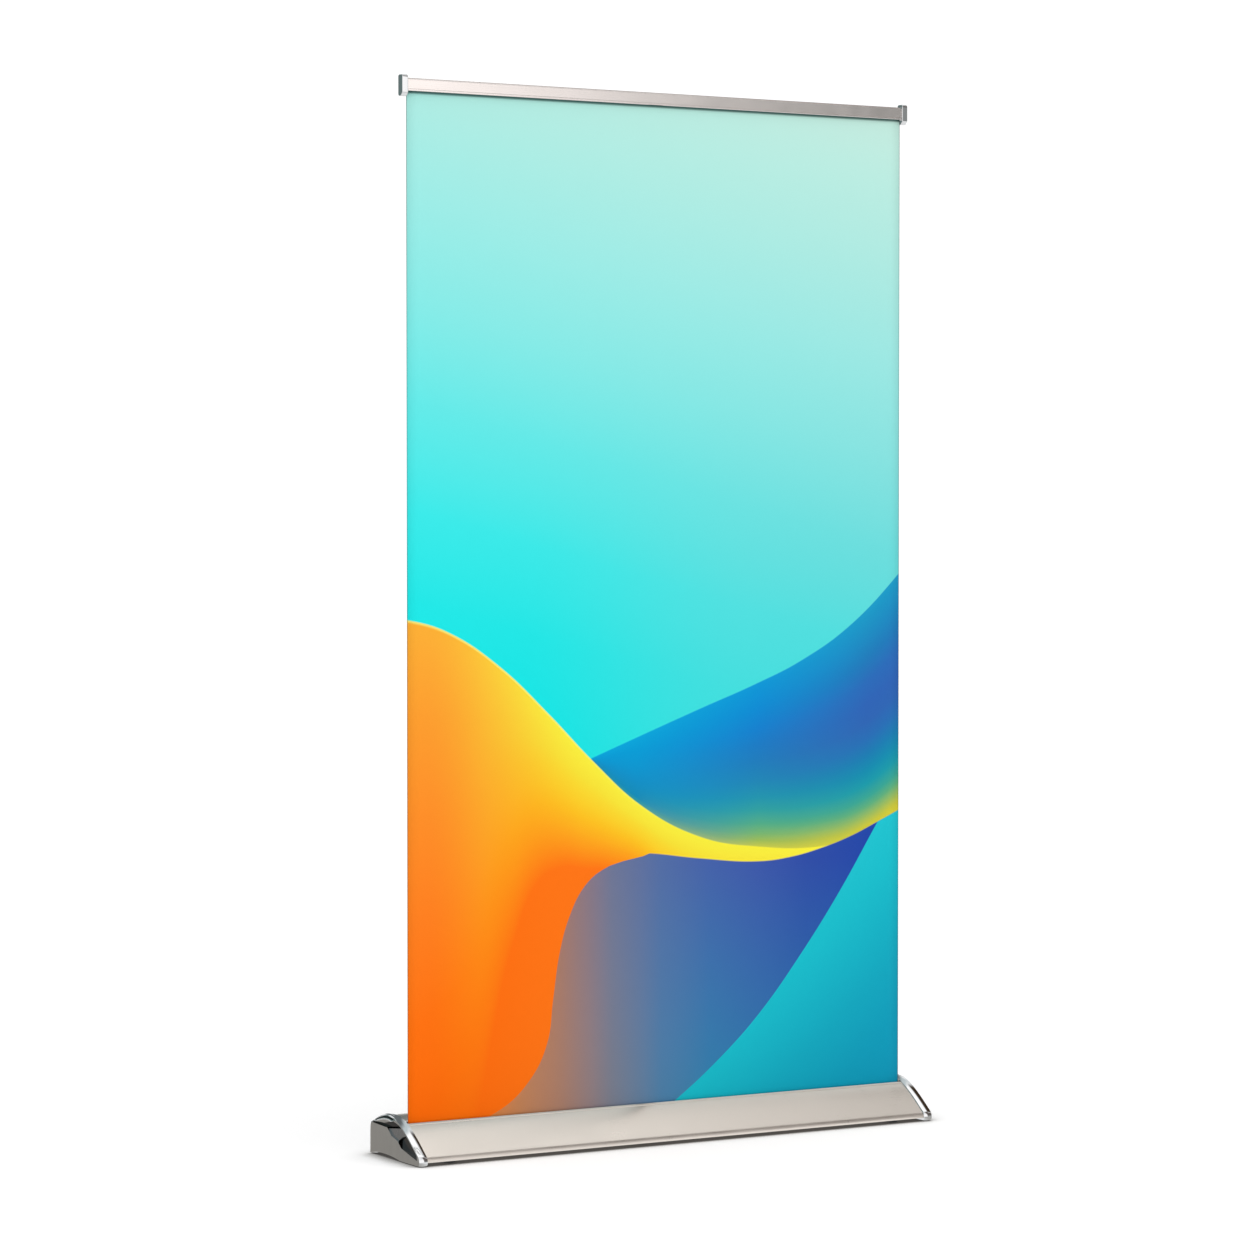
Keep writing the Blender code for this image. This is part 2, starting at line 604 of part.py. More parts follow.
def make_rail():
    """Top rail with the film in it and the bracket behind it that straddles the pole head."""
    rail = empty("rail_foot", (0, 0, RAIL_FOOT), film_plane)
    make_rail_body(rail)
    make_rail_flap(rail)
    make_rail_caps(rail)

    inner, outer = BRACKET_EAR
    near = RAIL_REAR_Y + GAP
    web = near + RAIL_WALL
    ears = [(-outer, near), (outer, near), (outer, BRACKET_REACH_Y), (inner, BRACKET_REACH_Y), (inner, web),
            (-inner, web), (-inner, BRACKET_REACH_Y), (-outer, BRACKET_REACH_Y)]
    low, high = BRACKET_SPAN
    add("rail_bracket", prism_mesh("rail_bracket", [ears], high - low), STEEL, rail, (0, 0, low))

    half = FILM_THICKNESS / 2
    top = RAIL_FOOT + RAIL_LEDGE - 0.001
    box("banner_sheet", (-FILM_HALF, -half, ROLLER_Z), (FILM_HALF, half, top), PRINT, film_plane)


# ---------------------------------------------------------------- telescopic pole
def make_lock(name, outer, inner, top, axis):
    """Twist lock on the top of a tube: a fixed sleeve and the collar that turns round it."""
    sleeve_radius = outer + 0.0020
    sleeve_top = top + 0.0120
    sleeve_foot = top - 0.0150
    sleeve = [(sleeve_radius, sleeve_top), (sleeve_radius, sleeve_foot), (outer + SLIDING_FIT, sleeve_foot),
              (outer + SLIDING_FIT, top + GAP), (inner + SLIDING_FIT, top + GAP), (inner + SLIDING_FIT, sleeve_top)]
    turned(f"lock_sleeve_{name}", sleeve, PLASTIC, axis, closed=True)
    foot = top - LOCK_DROP
    lid = foot + LOCK_HEIGHT
    lid_wall = 0.0030
    grip = outer + 0.0045
    wall = sleeve_radius + SLIDING_FIT
    step = sleeve_foot - 0.0005
    collar = [(grip - 0.0010, lid), (grip, lid - 0.0010), (grip, foot + 0.0060), (outer + 0.0022, foot),
              (outer + SLIDING_FIT, foot), (outer + SLIDING_FIT, step), (wall, step),
              (wall, lid - lid_wall), (inner + SLIDING_FIT, lid - lid_wall), (inner + SLIDING_FIT, lid)]
    turned(f"lock_collar_{name}", collar, PLASTIC, axis, closed=True)


def make_pole_head(axis):
    """Plug in the top of the pole with a flat tongue that stands behind the rail."""
    low = UPPER_SPAN[1] + GAP
    top = low + HEAD_HEIGHT
    spigot = UPPER_RADIUS - POLE_WALL - GAP
    profile = [(0, top), (HEAD_RADIUS - 0.002, top), (HEAD_RADIUS, top - 0.002), (HEAD_RADIUS, low + 0.006),
               (0.0105, low), (spigot, low), (spigot, low - HEAD_SPIGOT), (0, low - HEAD_SPIGOT)]
    head = turned("pole_head", profile, PLASTIC, axis)
    front = RAIL_REAR_Y + RAIL_WALL + 0.0008 - POLE_Y
    near = (-TONGUE_HALF, front, low + 0.015)
    far = (TONGUE_HALF, 0.004, top + TONGUE_TOP)
    combine(head, box("head_tongue", near, far, None, axis), "UNION")


def make_pole():
    """Three tubes in one another, two twist locks, a foot plug and the head."""
    axis = empty("pole_axis", (0, POLE_Y, 0), film_plane)
    shoulder = POLE_FOOT + PLUG_HEAD
    spigot = LOWER_RADIUS - POLE_WALL - GAP
    chamfer = 0.001
    plug = [(0, PLUG_TOP), (spigot - chamfer, PLUG_TOP), (spigot, PLUG_TOP - chamfer), (spigot, shoulder),
            (LOWER_RADIUS, shoulder), (LOWER_RADIUS, POLE_FOOT + chamfer), (LOWER_RADIUS - chamfer, POLE_FOOT),
            (0, POLE_FOOT)]
    turned("pole_foot_plug", plug, PLASTIC, axis)
    lower_span = (shoulder + GAP, LOWER_TOP)
    tube("pole_lower_tube", LOWER_RADIUS, LOWER_RADIUS - POLE_WALL, lower_span, SATIN, axis)
    tube("pole_middle_tube", MIDDLE_RADIUS, MIDDLE_RADIUS - POLE_WALL, MIDDLE_SPAN, SATIN, axis)
    tube("pole_upper_tube", UPPER_RADIUS, UPPER_RADIUS - POLE_WALL, UPPER_SPAN, SATIN, axis)
    make_lock("lower", LOWER_RADIUS, MIDDLE_RADIUS, LOWER_TOP, axis)
    make_lock("upper", MIDDLE_RADIUS, UPPER_RADIUS, MIDDLE_SPAN[1], axis)
    make_pole_head(axis)


make_housing()
make_front_panel()
make_ends()
make_socket()
make_feet()
make_roller()
make_rail()
make_pole()
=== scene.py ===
# %% [markdown]
# # A roll-up banner stand
# The stand is a low aluminium base with a sprung roller in it, a printed film that is
# drawn up out of the base, a rail that holds the film's top edge, and a telescopic pole
# behind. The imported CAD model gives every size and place. This lesson puts the finished
# surfaces round it: smooth extrusions, chromed end caps, a printed film and a soft studio.

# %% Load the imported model
import json
import math

import bmesh
import bpy
from mathutils import Matrix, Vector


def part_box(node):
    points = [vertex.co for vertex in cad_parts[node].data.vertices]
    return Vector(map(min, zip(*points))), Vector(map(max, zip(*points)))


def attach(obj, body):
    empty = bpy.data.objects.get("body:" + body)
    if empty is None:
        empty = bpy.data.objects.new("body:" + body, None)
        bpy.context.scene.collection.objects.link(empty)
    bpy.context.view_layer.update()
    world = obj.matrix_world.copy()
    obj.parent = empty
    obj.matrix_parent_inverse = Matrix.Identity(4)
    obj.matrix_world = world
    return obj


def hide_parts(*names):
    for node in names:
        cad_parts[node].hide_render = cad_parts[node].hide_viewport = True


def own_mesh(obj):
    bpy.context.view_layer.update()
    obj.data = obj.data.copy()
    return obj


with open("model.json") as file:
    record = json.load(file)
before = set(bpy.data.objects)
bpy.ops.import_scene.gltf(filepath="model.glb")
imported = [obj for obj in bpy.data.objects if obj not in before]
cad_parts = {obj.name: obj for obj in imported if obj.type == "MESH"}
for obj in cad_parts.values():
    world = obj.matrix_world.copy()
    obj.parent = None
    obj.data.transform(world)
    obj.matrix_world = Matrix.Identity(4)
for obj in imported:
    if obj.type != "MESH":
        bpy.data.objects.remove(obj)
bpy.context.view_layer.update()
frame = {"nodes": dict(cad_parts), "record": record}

# %% [markdown]
# ## Where things are
# The film hangs in one plane, so most lengths are easiest to give from that plane.
# `film_y` is its place, and the boxes of a few CAD nodes give the rest. Asking the model
# is better than typing the sizes again, because both then always agree.

# %% Measure the frame
film_low, film_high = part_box("banner_sheet")
film_y = (film_low.y + film_high.y) / 2
film_half = film_high.x
film_foot, film_top = film_low.z, film_high.z
skin_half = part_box("front_panel")[1].x
cap_low, cap_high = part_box("end_cap_right")
rail_low, rail_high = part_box("rail_back")
rail_foot = rail_low.z
socket_low, socket_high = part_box("pole_socket")
pole_y = (socket_low.y + socket_high.y) / 2
print(f"film plane y {film_y:.4f}, film {2 * film_half:.3f} m wide, rail foot {rail_foot:.3f} m up")

# %% [markdown]
# ## The camera
# A long lens from the front left, at about chest height and more than eight metres away,
# keeps the film's sides almost upright. The camera looks down by less than two degrees,
# just enough to put the whole stand in the middle of the frame.

# %% Place the camera
camera_place = (-4.289, -7.264, 1.318)
camera_turn, camera_dip = math.radians(-30.111), math.radians(1.635)

camera_data = bpy.data.cameras.new("studio_camera")
camera_data.lens = 115.03
camera_data.sensor_width = 36
camera_data.clip_end = 200
camera = bpy.data.objects.new("studio_camera", camera_data)
camera.location = camera_place
camera.rotation_euler = (math.radians(90) - camera_dip, 0, camera_turn)
bpy.context.scene.collection.objects.link(camera)
bpy.context.scene.camera = camera
bpy.context.scene.view_settings.view_transform = "Standard"
print("camera", [round(c, 3) for c in camera.location])

# %% [markdown]
# ## Small tools for node materials
# Node trees are long to write out, so a few helpers keep each material short. `put` adds
# a node and `join` fills its inputs. The others each make one node that works on a value
# or a colour, and find the tree they belong to by asking the socket they are given.
# Colours are given as they look on paper and turned into the linear values that the
# shader wants.

# %% Helpers for node trees
def paper(code):
    """Linear colour of a six-digit paper colour."""
    values = [int(code[i:i + 2], 16) / 255 for i in (0, 2, 4)]
    linear = [v / 12.92 if v <= 0.04045 else ((v + 0.055) / 1.055) ** 2.4 for v in values]
    return (*linear, 1.0)


def brighter(colour, gain, lift=0.0):
    """A colour made brighter or darker, up to white."""
    return [min(1.0, c * gain + lift) for c in colour[:3]] + [1.0]


def join(node, inputs):
    """Give inputs of a node their values. An output socket is joined to the input."""
    for key, value in inputs.items():
        if isinstance(value, bpy.types.NodeSocket):
            value.id_data.links.new(value, node.inputs[key])
        else:
            node.inputs[key].default_value = value


def put(tree, kind, inputs=None, **settings):
    """Add a node with its settings and inputs."""
    made = tree.nodes.new(kind)
    for key, value in settings.items():
        setattr(made, key, value)
    join(made, inputs or {})
    return made


def tree_of(*values):
    """The tree of the first socket among some values."""
    return next(value.id_data for value in values if isinstance(value, bpy.types.NodeSocket))


def calc(operation, a, b=0.0, c=0.0, clamp=False):
    """One Math node; returns its output."""
    inputs = {0: a, 1: b, 2: c}
    return put(tree_of(a, b, c), "ShaderNodeMath", inputs, operation=operation,
               use_clamp=clamp).outputs[0]


def times(a, b, clamp=False):
    """Product of two values."""
    return calc("MULTIPLY", a, b, clamp=clamp)


def minus(a, b):
    """Difference of two values."""
    return calc("SUBTRACT", a, b)


def blend(factor, a, b, mode="MIX"):
    """One colour Mix node; returns its output."""
    inputs = {0: factor, 6: a, 7: b}
    return put(tree_of(factor, a, b), "ShaderNodeMix", inputs, data_type="RGBA",
               blend_type=mode).outputs[2]


def ramp(factor, stops):
    """One Color Ramp node; its stops are (place, colour) pairs, or text such as "0.5 ffffff"."""
    if isinstance(stops, str):
        stops = [(float(stop.split()[0]), paper(stop.split()[1])) for stop in stops.split(",")]
    made = put(factor.id_data, "ShaderNodeValToRGB", {0: factor})
    points = made.color_ramp.elements
    while len(points) < len(stops):
        points.new(0.5)
    for point, (place, colour) in zip(points, stops):
        point.position = place
        point.color = colour if len(colour) == 4 else (*colour, 1.0)
    return made.outputs[0]


def spread(value, low, high, to_low=0.0, to_high=1.0, smooth=False):
    """One Map Range node; returns its output."""
    inputs = {"Value": value, "From Min": low, "From Max": high,
              "To Min": to_low, "To Max": to_high}
    return put(value.id_data, "ShaderNodeMapRange", inputs,
               interpolation_type="SMOOTHSTEP" if smooth else "LINEAR").outputs[0]


def noise(place, scale, detail, **more):
    """One Noise Texture node; returns its value."""
    inputs = {"Vector": place, "Scale": scale, "Detail": detail, **more}
    return put(place.id_data, "ShaderNodeTexNoise", inputs).outputs["Fac"]


def vector_calc(operation, a, b):
    """One Vector Math node."""
    return put(a.id_data, "ShaderNodeVectorMath", {0: a, 1: b}, operation=operation).outputs


def new_finish(name):
    """A material with its tree, its Principled shader and Object coordinates."""
    made = bpy.data.materials.new(name)
    made.use_nodes = True
    tree = made.node_tree
    place = put(tree, "ShaderNodeTexCoord").outputs["Object"]
    return made, tree, tree.nodes["Principled BSDF"], place


def coat(shader, colour, rough, height, strength, depth):
    """Give a shader its colour, its roughness and a fine relief."""
    inputs = {"Height": height, "Strength": strength, "Distance": depth}
    relief = put(height.id_data, "ShaderNodeBump", inputs)
    join(shader, {"Base Color": colour, "Roughness": rough, "Normal": relief.outputs[0]})


print("node helpers ready")

# %% [markdown]
# ## Effects that several finishes share
# Real parts are never quite even: edges are rubbed bright, polished metal has faint
# wiping marks, extruded metal has fine lengthwise lines and a fine blasted grain. Each
# effect is one node group with named inputs and outputs, so every material can use it
# with its own strength.

# %% Start a shared effect
def new_effect(name, inputs, results):
    """A shader node group; returns it, what it is given and the node that takes its results."""
    group = bpy.data.node_groups.new(name, "ShaderNodeTree")
    group.interface.new_socket("Place", in_out="INPUT", socket_type="NodeSocketVector")
    for title, value in inputs.items():
        kind = "NodeSocketFloat" if isinstance(value, float) else "NodeSocketVector"
        group.interface.new_socket(title, in_out="INPUT", socket_type=kind).default_value = value
    for title in results:
        group.interface.new_socket(title, in_out="OUTPUT", socket_type="NodeSocketFloat")
    return group, group.nodes.new("NodeGroupInput").outputs, group.nodes.new("NodeGroupOutput")


def use_effect(group, place, inputs=None):
    """Place a shared effect in the tree of some coordinates; returns its outputs."""
    given = {"Place": place, **(inputs or {})}
    return put(place.id_data, "ShaderNodeGroup", given, node_tree=group).outputs


# %% Edge wear: bright or dark where an outer edge is rubbed
edge_wear, given, result = new_effect("edge wear", {"Width": 0.0006, "Patchiness": 0.6}, ["Mask"])
rounded = put(edge_wear, "ShaderNodeBevel", {"Radius": given["Width"]}, samples=4).outputs[0]
flat = put(edge_wear, "ShaderNodeNewGeometry").outputs["Normal"]
rub = spread(vector_calc("DOT_PRODUCT", rounded, flat)["Value"], 0.995, 0.90)
patches = spread(noise(given["Place"], 90.0, 3.0), 0.38, 0.62)
evenness = minus(1.0, given["Patchiness"])
patch_share = calc("ADD", times(patches, given["Patchiness"]), evenness)
join(result, {"Mask": times(rub, patch_share, clamp=True)})

# %% Blasted grain: the fine, even roughness of anodised or moulded surfaces
fine_grain, given, result = new_effect(
    "fine grain", {"Scale": 1500.0, "Cloud scale": 14.0}, ["Grain", "Cloud"])
join(result, {"Grain": noise(given["Place"], given["Scale"], 2.0),
              "Cloud": noise(given["Place"], given["Cloud scale"], 4.0, Roughness=0.6)})

# %% Drawn lines: fine streaks along one direction, as an extrusion die leaves them
drawn_lines, given, result = new_effect("drawn lines", {"Stretch": (1.0, 400.0, 400.0)}, ["Lines"])
drawn = vector_calc("MULTIPLY", given["Place"], given["Stretch"])[0]
join(result, {"Lines": noise(drawn, 3.0, 3.0, Roughness=0.65)})

# %% Wiping marks: faint long smears and a few specks of dust on polished metal
wiping, given, result = new_effect("wiping marks", {}, ["Smear", "Dust"])
wiped_place = vector_calc("MULTIPLY", given["Place"], (30.0, 55.0, 9.0))[0]
smears = noise(wiped_place, 1.0, 5.0, Distortion=0.8)
specks = put(wiping, "ShaderNodeTexVoronoi", {"Vector": given["Place"], "Scale": 230.0})
join(result, {"Smear": spread(smears, 0.45, 0.75),
              "Dust": spread(specks.outputs["Distance"], 0.055, 0.03)})
print("shared effects:", [g.name for g in bpy.data.node_groups])

# %% [markdown]
# ## Metal finishes
# The extrusions are bead-blasted and anodised a warm silver: metallic, half rough, with a
# grain too fine to see as lines and a soft cloudiness. The caps are die cast and plated,
# so they are mirror smooth. Their flanks get a darker satin copy of the plating, which is a
# painted reflection. The scoop gets a dark grey and a near-black copy, which are painted
# shade. Plain hardware is zinc plated.

# %% Anodised aluminium
along_x, along_z = (1.0, 420.0, 420.0), (420.0, 420.0, 1.0)


def make_satin(name, base, rough, stretch=along_x):
    """Anodised extrusion in a given colour and roughness."""
    made, tree, shader, place = new_finish(name)
    grain = use_effect(fine_grain, place, {"Scale": 1700.0, "Cloud scale": 9.0})
    lines = use_effect(drawn_lines, place, {"Stretch": stretch})["Lines"]
    wear = use_effect(edge_wear, place, {"Width": 0.0005, "Patchiness": 0.7})["Mask"]
    toned = blend(1.0, base, calc("MULTIPLY_ADD", grain["Cloud"], 0.10, 0.95), "MULTIPLY")
    speckled = blend(spread(grain["Grain"], 0.35, 0.70, 0.0, 0.10), toned, brighter(base, 0.72))
    worn = blend(times(wear, 0.5), speckled, brighter(base, 1.12, 0.04))
    uneven = calc("ADD", spread(grain["Cloud"], 0.3, 0.7, rough - 0.03, rough + 0.04),
                  spread(lines, 0.3, 0.7, -0.02, 0.03))
    join(shader, {"Metallic": 1.0})
    coat(shader, worn, uneven, calc("MULTIPLY_ADD", lines, 0.15, grain["Grain"]), 0.06, 0.0002)
    return made


satin = make_satin("satin aluminium", (0.87, 0.805, 0.735, 1.0), 0.30)
satin_rail = make_satin("satin aluminium rail", (0.94, 0.87, 0.84, 1.0), 0.12)
satin_tube = make_satin("satin aluminium tube", (0.70, 0.69, 0.68, 1.0), 0.26, along_z)


# %% Plated and polished metal
dust_colour, smear_rough, dust_share = (0.55, 0.53, 0.50, 1.0), 0.08, 0.04


def make_plated(name, base, rough):
    """Plated metal with faint wiping marks, a little dust and rubbed edges."""
    made, tree, shader, place = new_finish(name)
    wiped = use_effect(wiping, place)
    wear = use_effect(edge_wear, place, {"Width": 0.0004, "Patchiness": 0.8})["Mask"]
    dust = times(wiped["Dust"], dust_share)
    smeared = blend(times(wiped["Smear"], 0.5), base, brighter(base, 0.93))
    worn = blend(times(wear, 0.35), smeared, brighter(base, 1.1, 0.05))
    uneven = calc("ADD", times(wiped["Smear"], smear_rough), calc("ADD", dust, rough))
    join(shader, {"Metallic": 1.0})
    coat(shader, blend(dust, worn, dust_colour), uneven, wiped["Dust"], 0.04, 0.0001)
    return made


chrome = make_plated("polished chrome", (0.80, 0.81, 0.82, 1.0), 0.05)
# Painted reflection: the flank is a darker, satin copy of the plating. Its grey stands for what the
# chrome flank reflects.
flank = make_plated("flank painted reflection grey", (0.50, 0.485, 0.465, 1.0), 0.30)
# Painted shade: the next two finishes are darker copies of the plating that stand for shade in the
# cap's scoop. The grey one goes on the shallow part and the near-black one on the deep part.
scoop_painted_shade_grey = make_plated("scoop painted shade grey", (0.27, 0.272, 0.275, 1.0), 0.26)
scoop_painted_shade_black = make_plated("scoop painted shade black", (0.045, 0.042, 0.040, 1.0), 0.12)
zinc = make_plated("zinc plate", (0.56, 0.57, 0.58, 1.0), 0.28)
spring_steel = make_plated("oiled spring steel", (0.20, 0.20, 0.21, 1.0), 0.30)


# %% [markdown]
# ## Plastics and rubber
# The locks, the pole's head and its socket are moulded in black plastic with a fine
# spark-eroded texture, a little greyer where hands rub the edges. The feet are rubber,
# duller, with dust in the pores.

# %% Moulded black
pore_dust = (0.30, 0.29, 0.27, 1.0)


def make_moulded(name, base, rough, texture_scale, depth, dust_amount):
    """Moulded plastic or rubber."""
    made, tree, shader, place = new_finish(name)
    grain = use_effect(fine_grain, place, {"Scale": texture_scale, "Cloud scale": 40.0})
    wear = use_effect(edge_wear, place, {"Width": 0.0006, "Patchiness": 0.8})["Mask"]
    worn = blend(times(wear, 0.6), base, brighter(base, 2.2, 0.02))
    dusty = blend(spread(grain["Cloud"], 0.45, 0.75, 0.0, dust_amount), worn, pore_dust)
    uneven = spread(grain["Cloud"], 0.3, 0.7, rough - 0.06, rough + 0.08)
    coat(shader, dusty, uneven, grain["Grain"], 0.35, depth)
    return made


plastic_black, rubber_black = (0.022, 0.022, 0.024, 1.0), (0.016, 0.016, 0.016, 1.0)
plastic = make_moulded("moulded black plastic", plastic_black, 0.42, 1300.0, 0.0002, 0.05)
rubber = make_moulded("black rubber", rubber_black, 0.72, 900.0, 0.0003, 0.16)
felt = make_moulded("black slot felt", (0.010, 0.010, 0.011, 1.0), 0.92, 2400.0, 0.0006, 0.10)
print("finishes:", [m.name for m in bpy.data.materials])

# %% [markdown]
# ## The print
# The graphic is a calm wave design: a turquoise field above, an orange wave that folds
# over from the left, and blue waves under it. On a real stand it is inkjet ink on a
# smooth film. Here it is built from nodes on the film's own UV map, so it rolls away with
# the film. Each wave edge is one Float Curve: it gives the height of the edge for each
# place across, or the reverse where an edge runs steeply. Each field between the edges
# gets its colours from ramps.

# %% Wave edges
made_print, tree, shader, place = new_finish("printed film front")
film_uv = put(tree, "ShaderNodeUVMap", uv_map="print").outputs[0]
across, up, _ = put(tree, "ShaderNodeSeparateXYZ", {0: film_uv}).outputs


def edge_curve(value, *points):
    """A smooth curve through (place, height) points, both from 0 to 1."""
    made = put(tree, "ShaderNodeFloatCurve", {"Factor": 1.0, "Value": value})
    line = made.mapping.curves[0]
    while len(line.points) < len(points):
        line.points.new(0.5, 0.5)
    for point, spot in zip(line.points, points):
        point.location = spot
    made.mapping.update()
    return made.outputs[0]


def inside(distance, softness=0.0006):
    """Mask that is 1 where a distance is positive, with a barely soft edge."""
    return spread(distance, -softness, softness)


orange_top = edge_curve(
    across, (0, 0.49), (0.08, 0.477), (0.18, 0.442), (0.276, 0.394), (0.36, 0.348), (0.456, 0.302),
    (0.578, 0.267), (0.70, 0.254), (0.83, 0.251), (0.916, 0.259), (1, 0.285))
blue_top = edge_curve(
    across, (0, 0.25), (0.20, 0.316), (0.359, 0.35), (0.578, 0.396), (0.70, 0.421), (0.788, 0.442),
    (0.895, 0.478), (1, 0.531))
orange_foot = edge_curve(
    across, (0, 0.26), (0.30, 0.258), (0.476, 0.2525), (0.578, 0.245), (0.703, 0.239),
    (0.77, 0.242), (0.83, 0.249), (0.895, 0.260), (0.955, 0.274), (1, 0.285))
fold_side = edge_curve(
    up, (0, 0.150), (0.034, 0.236), (0.072, 0.272), (0.111, 0.282), (0.160, 0.296), (0.194, 0.315),
    (0.223, 0.345), (0.242, 0.395), (0.2525, 0.476), (0.262, 0.500), (1, 0.5))
lagoon_side = edge_curve(
    up, (0, 0.523), (0.041, 0.620), (0.084, 0.703), (0.140, 0.788), (0.204, 0.873), (0.274, 0.955),
    (0.31, 0.998), (1, 1))

above_orange, under_orange = minus(up, orange_top), minus(orange_foot, up)
into_orange = times(above_orange, -1.0)
print("wave edges:", 5)

# %% Colours of the turquoise field
field_place = spread(calc("MULTIPLY_ADD", across, 0.15, up), 0.35, 1.15)
field = ramp(field_place, "0 04e0e0, 0.10 10e5e4, 0.20 20e6e5, 0.31 3ae8e7, 0.44 62e8e6, "
                          "0.56 84e9e5, 0.69 9ceae4, 0.81 adeae1, 0.92 baeadf, 1 c4e9dd")
field_shade = ramp(across, [(0.0, (1, 1, 1)), (0.45, (1.0, 0.955, 0.96)),
                            (1.0, (0.96, 0.90, 0.915))])
field_right = blend(spread(up, 0.95, 0.55), (1, 1, 1, 1), field_shade)
turquoise = blend(1.0, field, field_right, "MULTIPLY")
milk = times(spread(across, 0.2, 0.7, smooth=True), spread(up, 0.78, 0.48, smooth=True))
turquoise = blend(times(milk, 0.055), turquoise, (0.75, 0.25, 0.25, 1.0))

# %% Colours of the upper blue wave
wave_depth = calc("DIVIDE", above_orange, minus(blue_top, orange_top))
wave_left = ramp(
    wave_depth, "0 2f989a, 0.08 1489b4, 0.34 0f8ec5, 0.56 0895ce, 0.79 049ad3, 1 05a3d8")
wave_middle = ramp(
    wave_depth, "0 c4c84c, 0.04 97b95a, 0.08 76b370, 0.14 51aa86, 0.22 329f9e, 0.30 2293ac, "
    "0.40 2085b4, 0.52 1f7bba, 0.62 1b7ac2, 0.72 137fcc, 0.85 0b8ad1, 1 0b96d5")
wave_right = ramp(
    wave_depth, "0 dccf33, 0.04 c7c53e, 0.08 97b95f, 0.12 5fae7c, 0.16 3aa492, 0.22 1b99a8, "
    "0.28 158cae, 0.35 1c7cb1, 0.42 286eb4, 0.50 2f65b3, 0.58 2f64b5, 0.68 2b6bb8, 0.78 207ab9, "
    "0.88 1c8ac0, 1 1b9ac6")
blue_wave = blend(spread(across, 0.45, 0.70), wave_left, wave_middle)
blue_wave = blend(spread(across, 0.70, 0.93), blue_wave, wave_right)

# %% Colours of the orange wave
fold_length = edge_curve(
    across, (0, 0.62), (0.10, 0.52), (0.20, 0.27), (0.25, 0.180), (0.30, 0.138), (0.35, 0.113),
    (0.40, 0.090), (0.45, 0.073), (0.50, 0.076), (0.62, 0.095), (1, 0.12))
fold_depth = calc("DIVIDE", into_orange, fold_length)
orange_left = ramp(fold_depth, "0 faae35, 0.15 fa9c2e, 0.31 fb8d27, 0.48 fc7e1e, 0.65 fd710e, "
                               "0.80 fd6b06, 1 fc6906")
orange_right = ramp(fold_depth, "0 f7ee3e, 0.12 f6e63a, 0.22 f5e036, 0.33 f7d62f, 0.45 f9cc28, "
                                "0.56 fabf20, 0.78 fb9f1b, 1 fc7414")
orange = blend(spread(across, 0.03, 0.34, smooth=True), orange_left, orange_right)
lit_edge = times(spread(above_orange, -0.0030, -0.0012), spread(across, 0.50, 0.30))
orange = blend(times(lit_edge, 0.75), orange, paper("f6f07a"))

# %% Colours of the lower blue wave and of the lagoon
deep_high = ramp(across, "0.28 a8755f, 0.33 90767a, 0.40 6d7594, 0.50 526ca3, 0.60 4461a8, "
                         "0.70 3d57a8, 0.80 304da5, 0.95 2246a6")
deep_low = ramp(across, "0.15 dc8442, 0.22 c08258, 0.30 a87e6b, 0.40 797e8d, 0.50 4d80a8, "
                        "0.60 3180ad, 0.80 2a6ea8")
deep = blend(spread(up, 0.0, 0.24), deep_low, deep_high)
lagoon_place = calc("MULTIPLY_ADD", minus(1.0, across), 0.5, up)
lagoon = ramp(spread(lagoon_place, 0.0, 0.30), "0 0d95b8, 0.25 0e9cba, 0.45 11a6be, 0.62 14b1c4, "
                                               "0.80 18bcca, 1 20c3cf")

# %% Put the fields on top of each other
drawing = turquoise
for mask, colour in ((inside(minus(blue_top, up)), blue_wave),
                     (inside(into_orange), orange),
                     (times(inside(under_orange), inside(minus(across, fold_side))), deep),
                     (times(inside(under_orange), inside(minus(across, lagoon_side))), lagoon)):
    drawing = blend(mask, drawing, colour)

# %% Finish the print: ink grain, the cut edges and a painted shadow under the rail
ink = use_effect(fine_grain, place, {"Scale": 1400.0, "Cloud scale": 3.0})
drawing = blend(1.0, drawing, spread(ink["Grain"], 0.3, 0.7, 0.985, 1.0), "MULTIPLY")
edge_distance = calc("MINIMUM", across, minus(1.0, across))
drawing = blend(spread(edge_distance, 0.0017, 0.0008, 0.0, 0.55), drawing, paper("4a4640"))
# Painted shadow: a dark teal band along the film's top edge, where the rail's lip shades it.
drawing = blend(spread(up, 0.9970, 0.9988, 0.0, 0.8), drawing, paper("1f4a48"))
stray_light = put(tree, "ShaderNodeLightPath").outputs["Is Diffuse Ray"]
drawing = blend(times(stray_light, 0.9), drawing, paper("efebe7"))
coat(shader, drawing, spread(ink["Cloud"], 0.3, 0.7, 0.46, 0.54), ink["Grain"], 0.05, 0.0001)
join(shader, {"Specular IOR Level": 0.03})
print("print material has", len(tree.nodes), "nodes")

# %% [markdown]
# ## The back of the film
# Display film has a grey, light-blocking layer behind its white face, so that the print
# stays bright with a window behind it. The back is a plain warm grey with a faint weave
# from the roller, and the cut edge shows the thin white core.

# %% Back and cut edge of the film
film_back, tree, shader, place = new_finish("film back")
back = use_effect(fine_grain, place, {"Scale": 900.0, "Cloud scale": 2.0})
back_tone = blend(spread(back["Cloud"], 0.3, 0.7), paper("a9abad"), paper("b3b4b4"))
back_colour = blend(1.0, back_tone, spread(back["Grain"], 0.3, 0.7, 0.95, 1.0), "MULTIPLY")
coat(shader, back_colour, spread(back["Cloud"], 0.3, 0.7, 0.5, 0.6), back["Grain"], 0.08, 0.0001)

film_core, tree, shader, place = new_finish("film core")
core = use_effect(fine_grain, place, {"Scale": 1200.0, "Cloud scale": 60.0})
join(shader, {"Base Color": blend(core["Cloud"], paper("8f9a98"), paper("b5bcba")),
              "Roughness": 0.6})
print("film finishes ready")

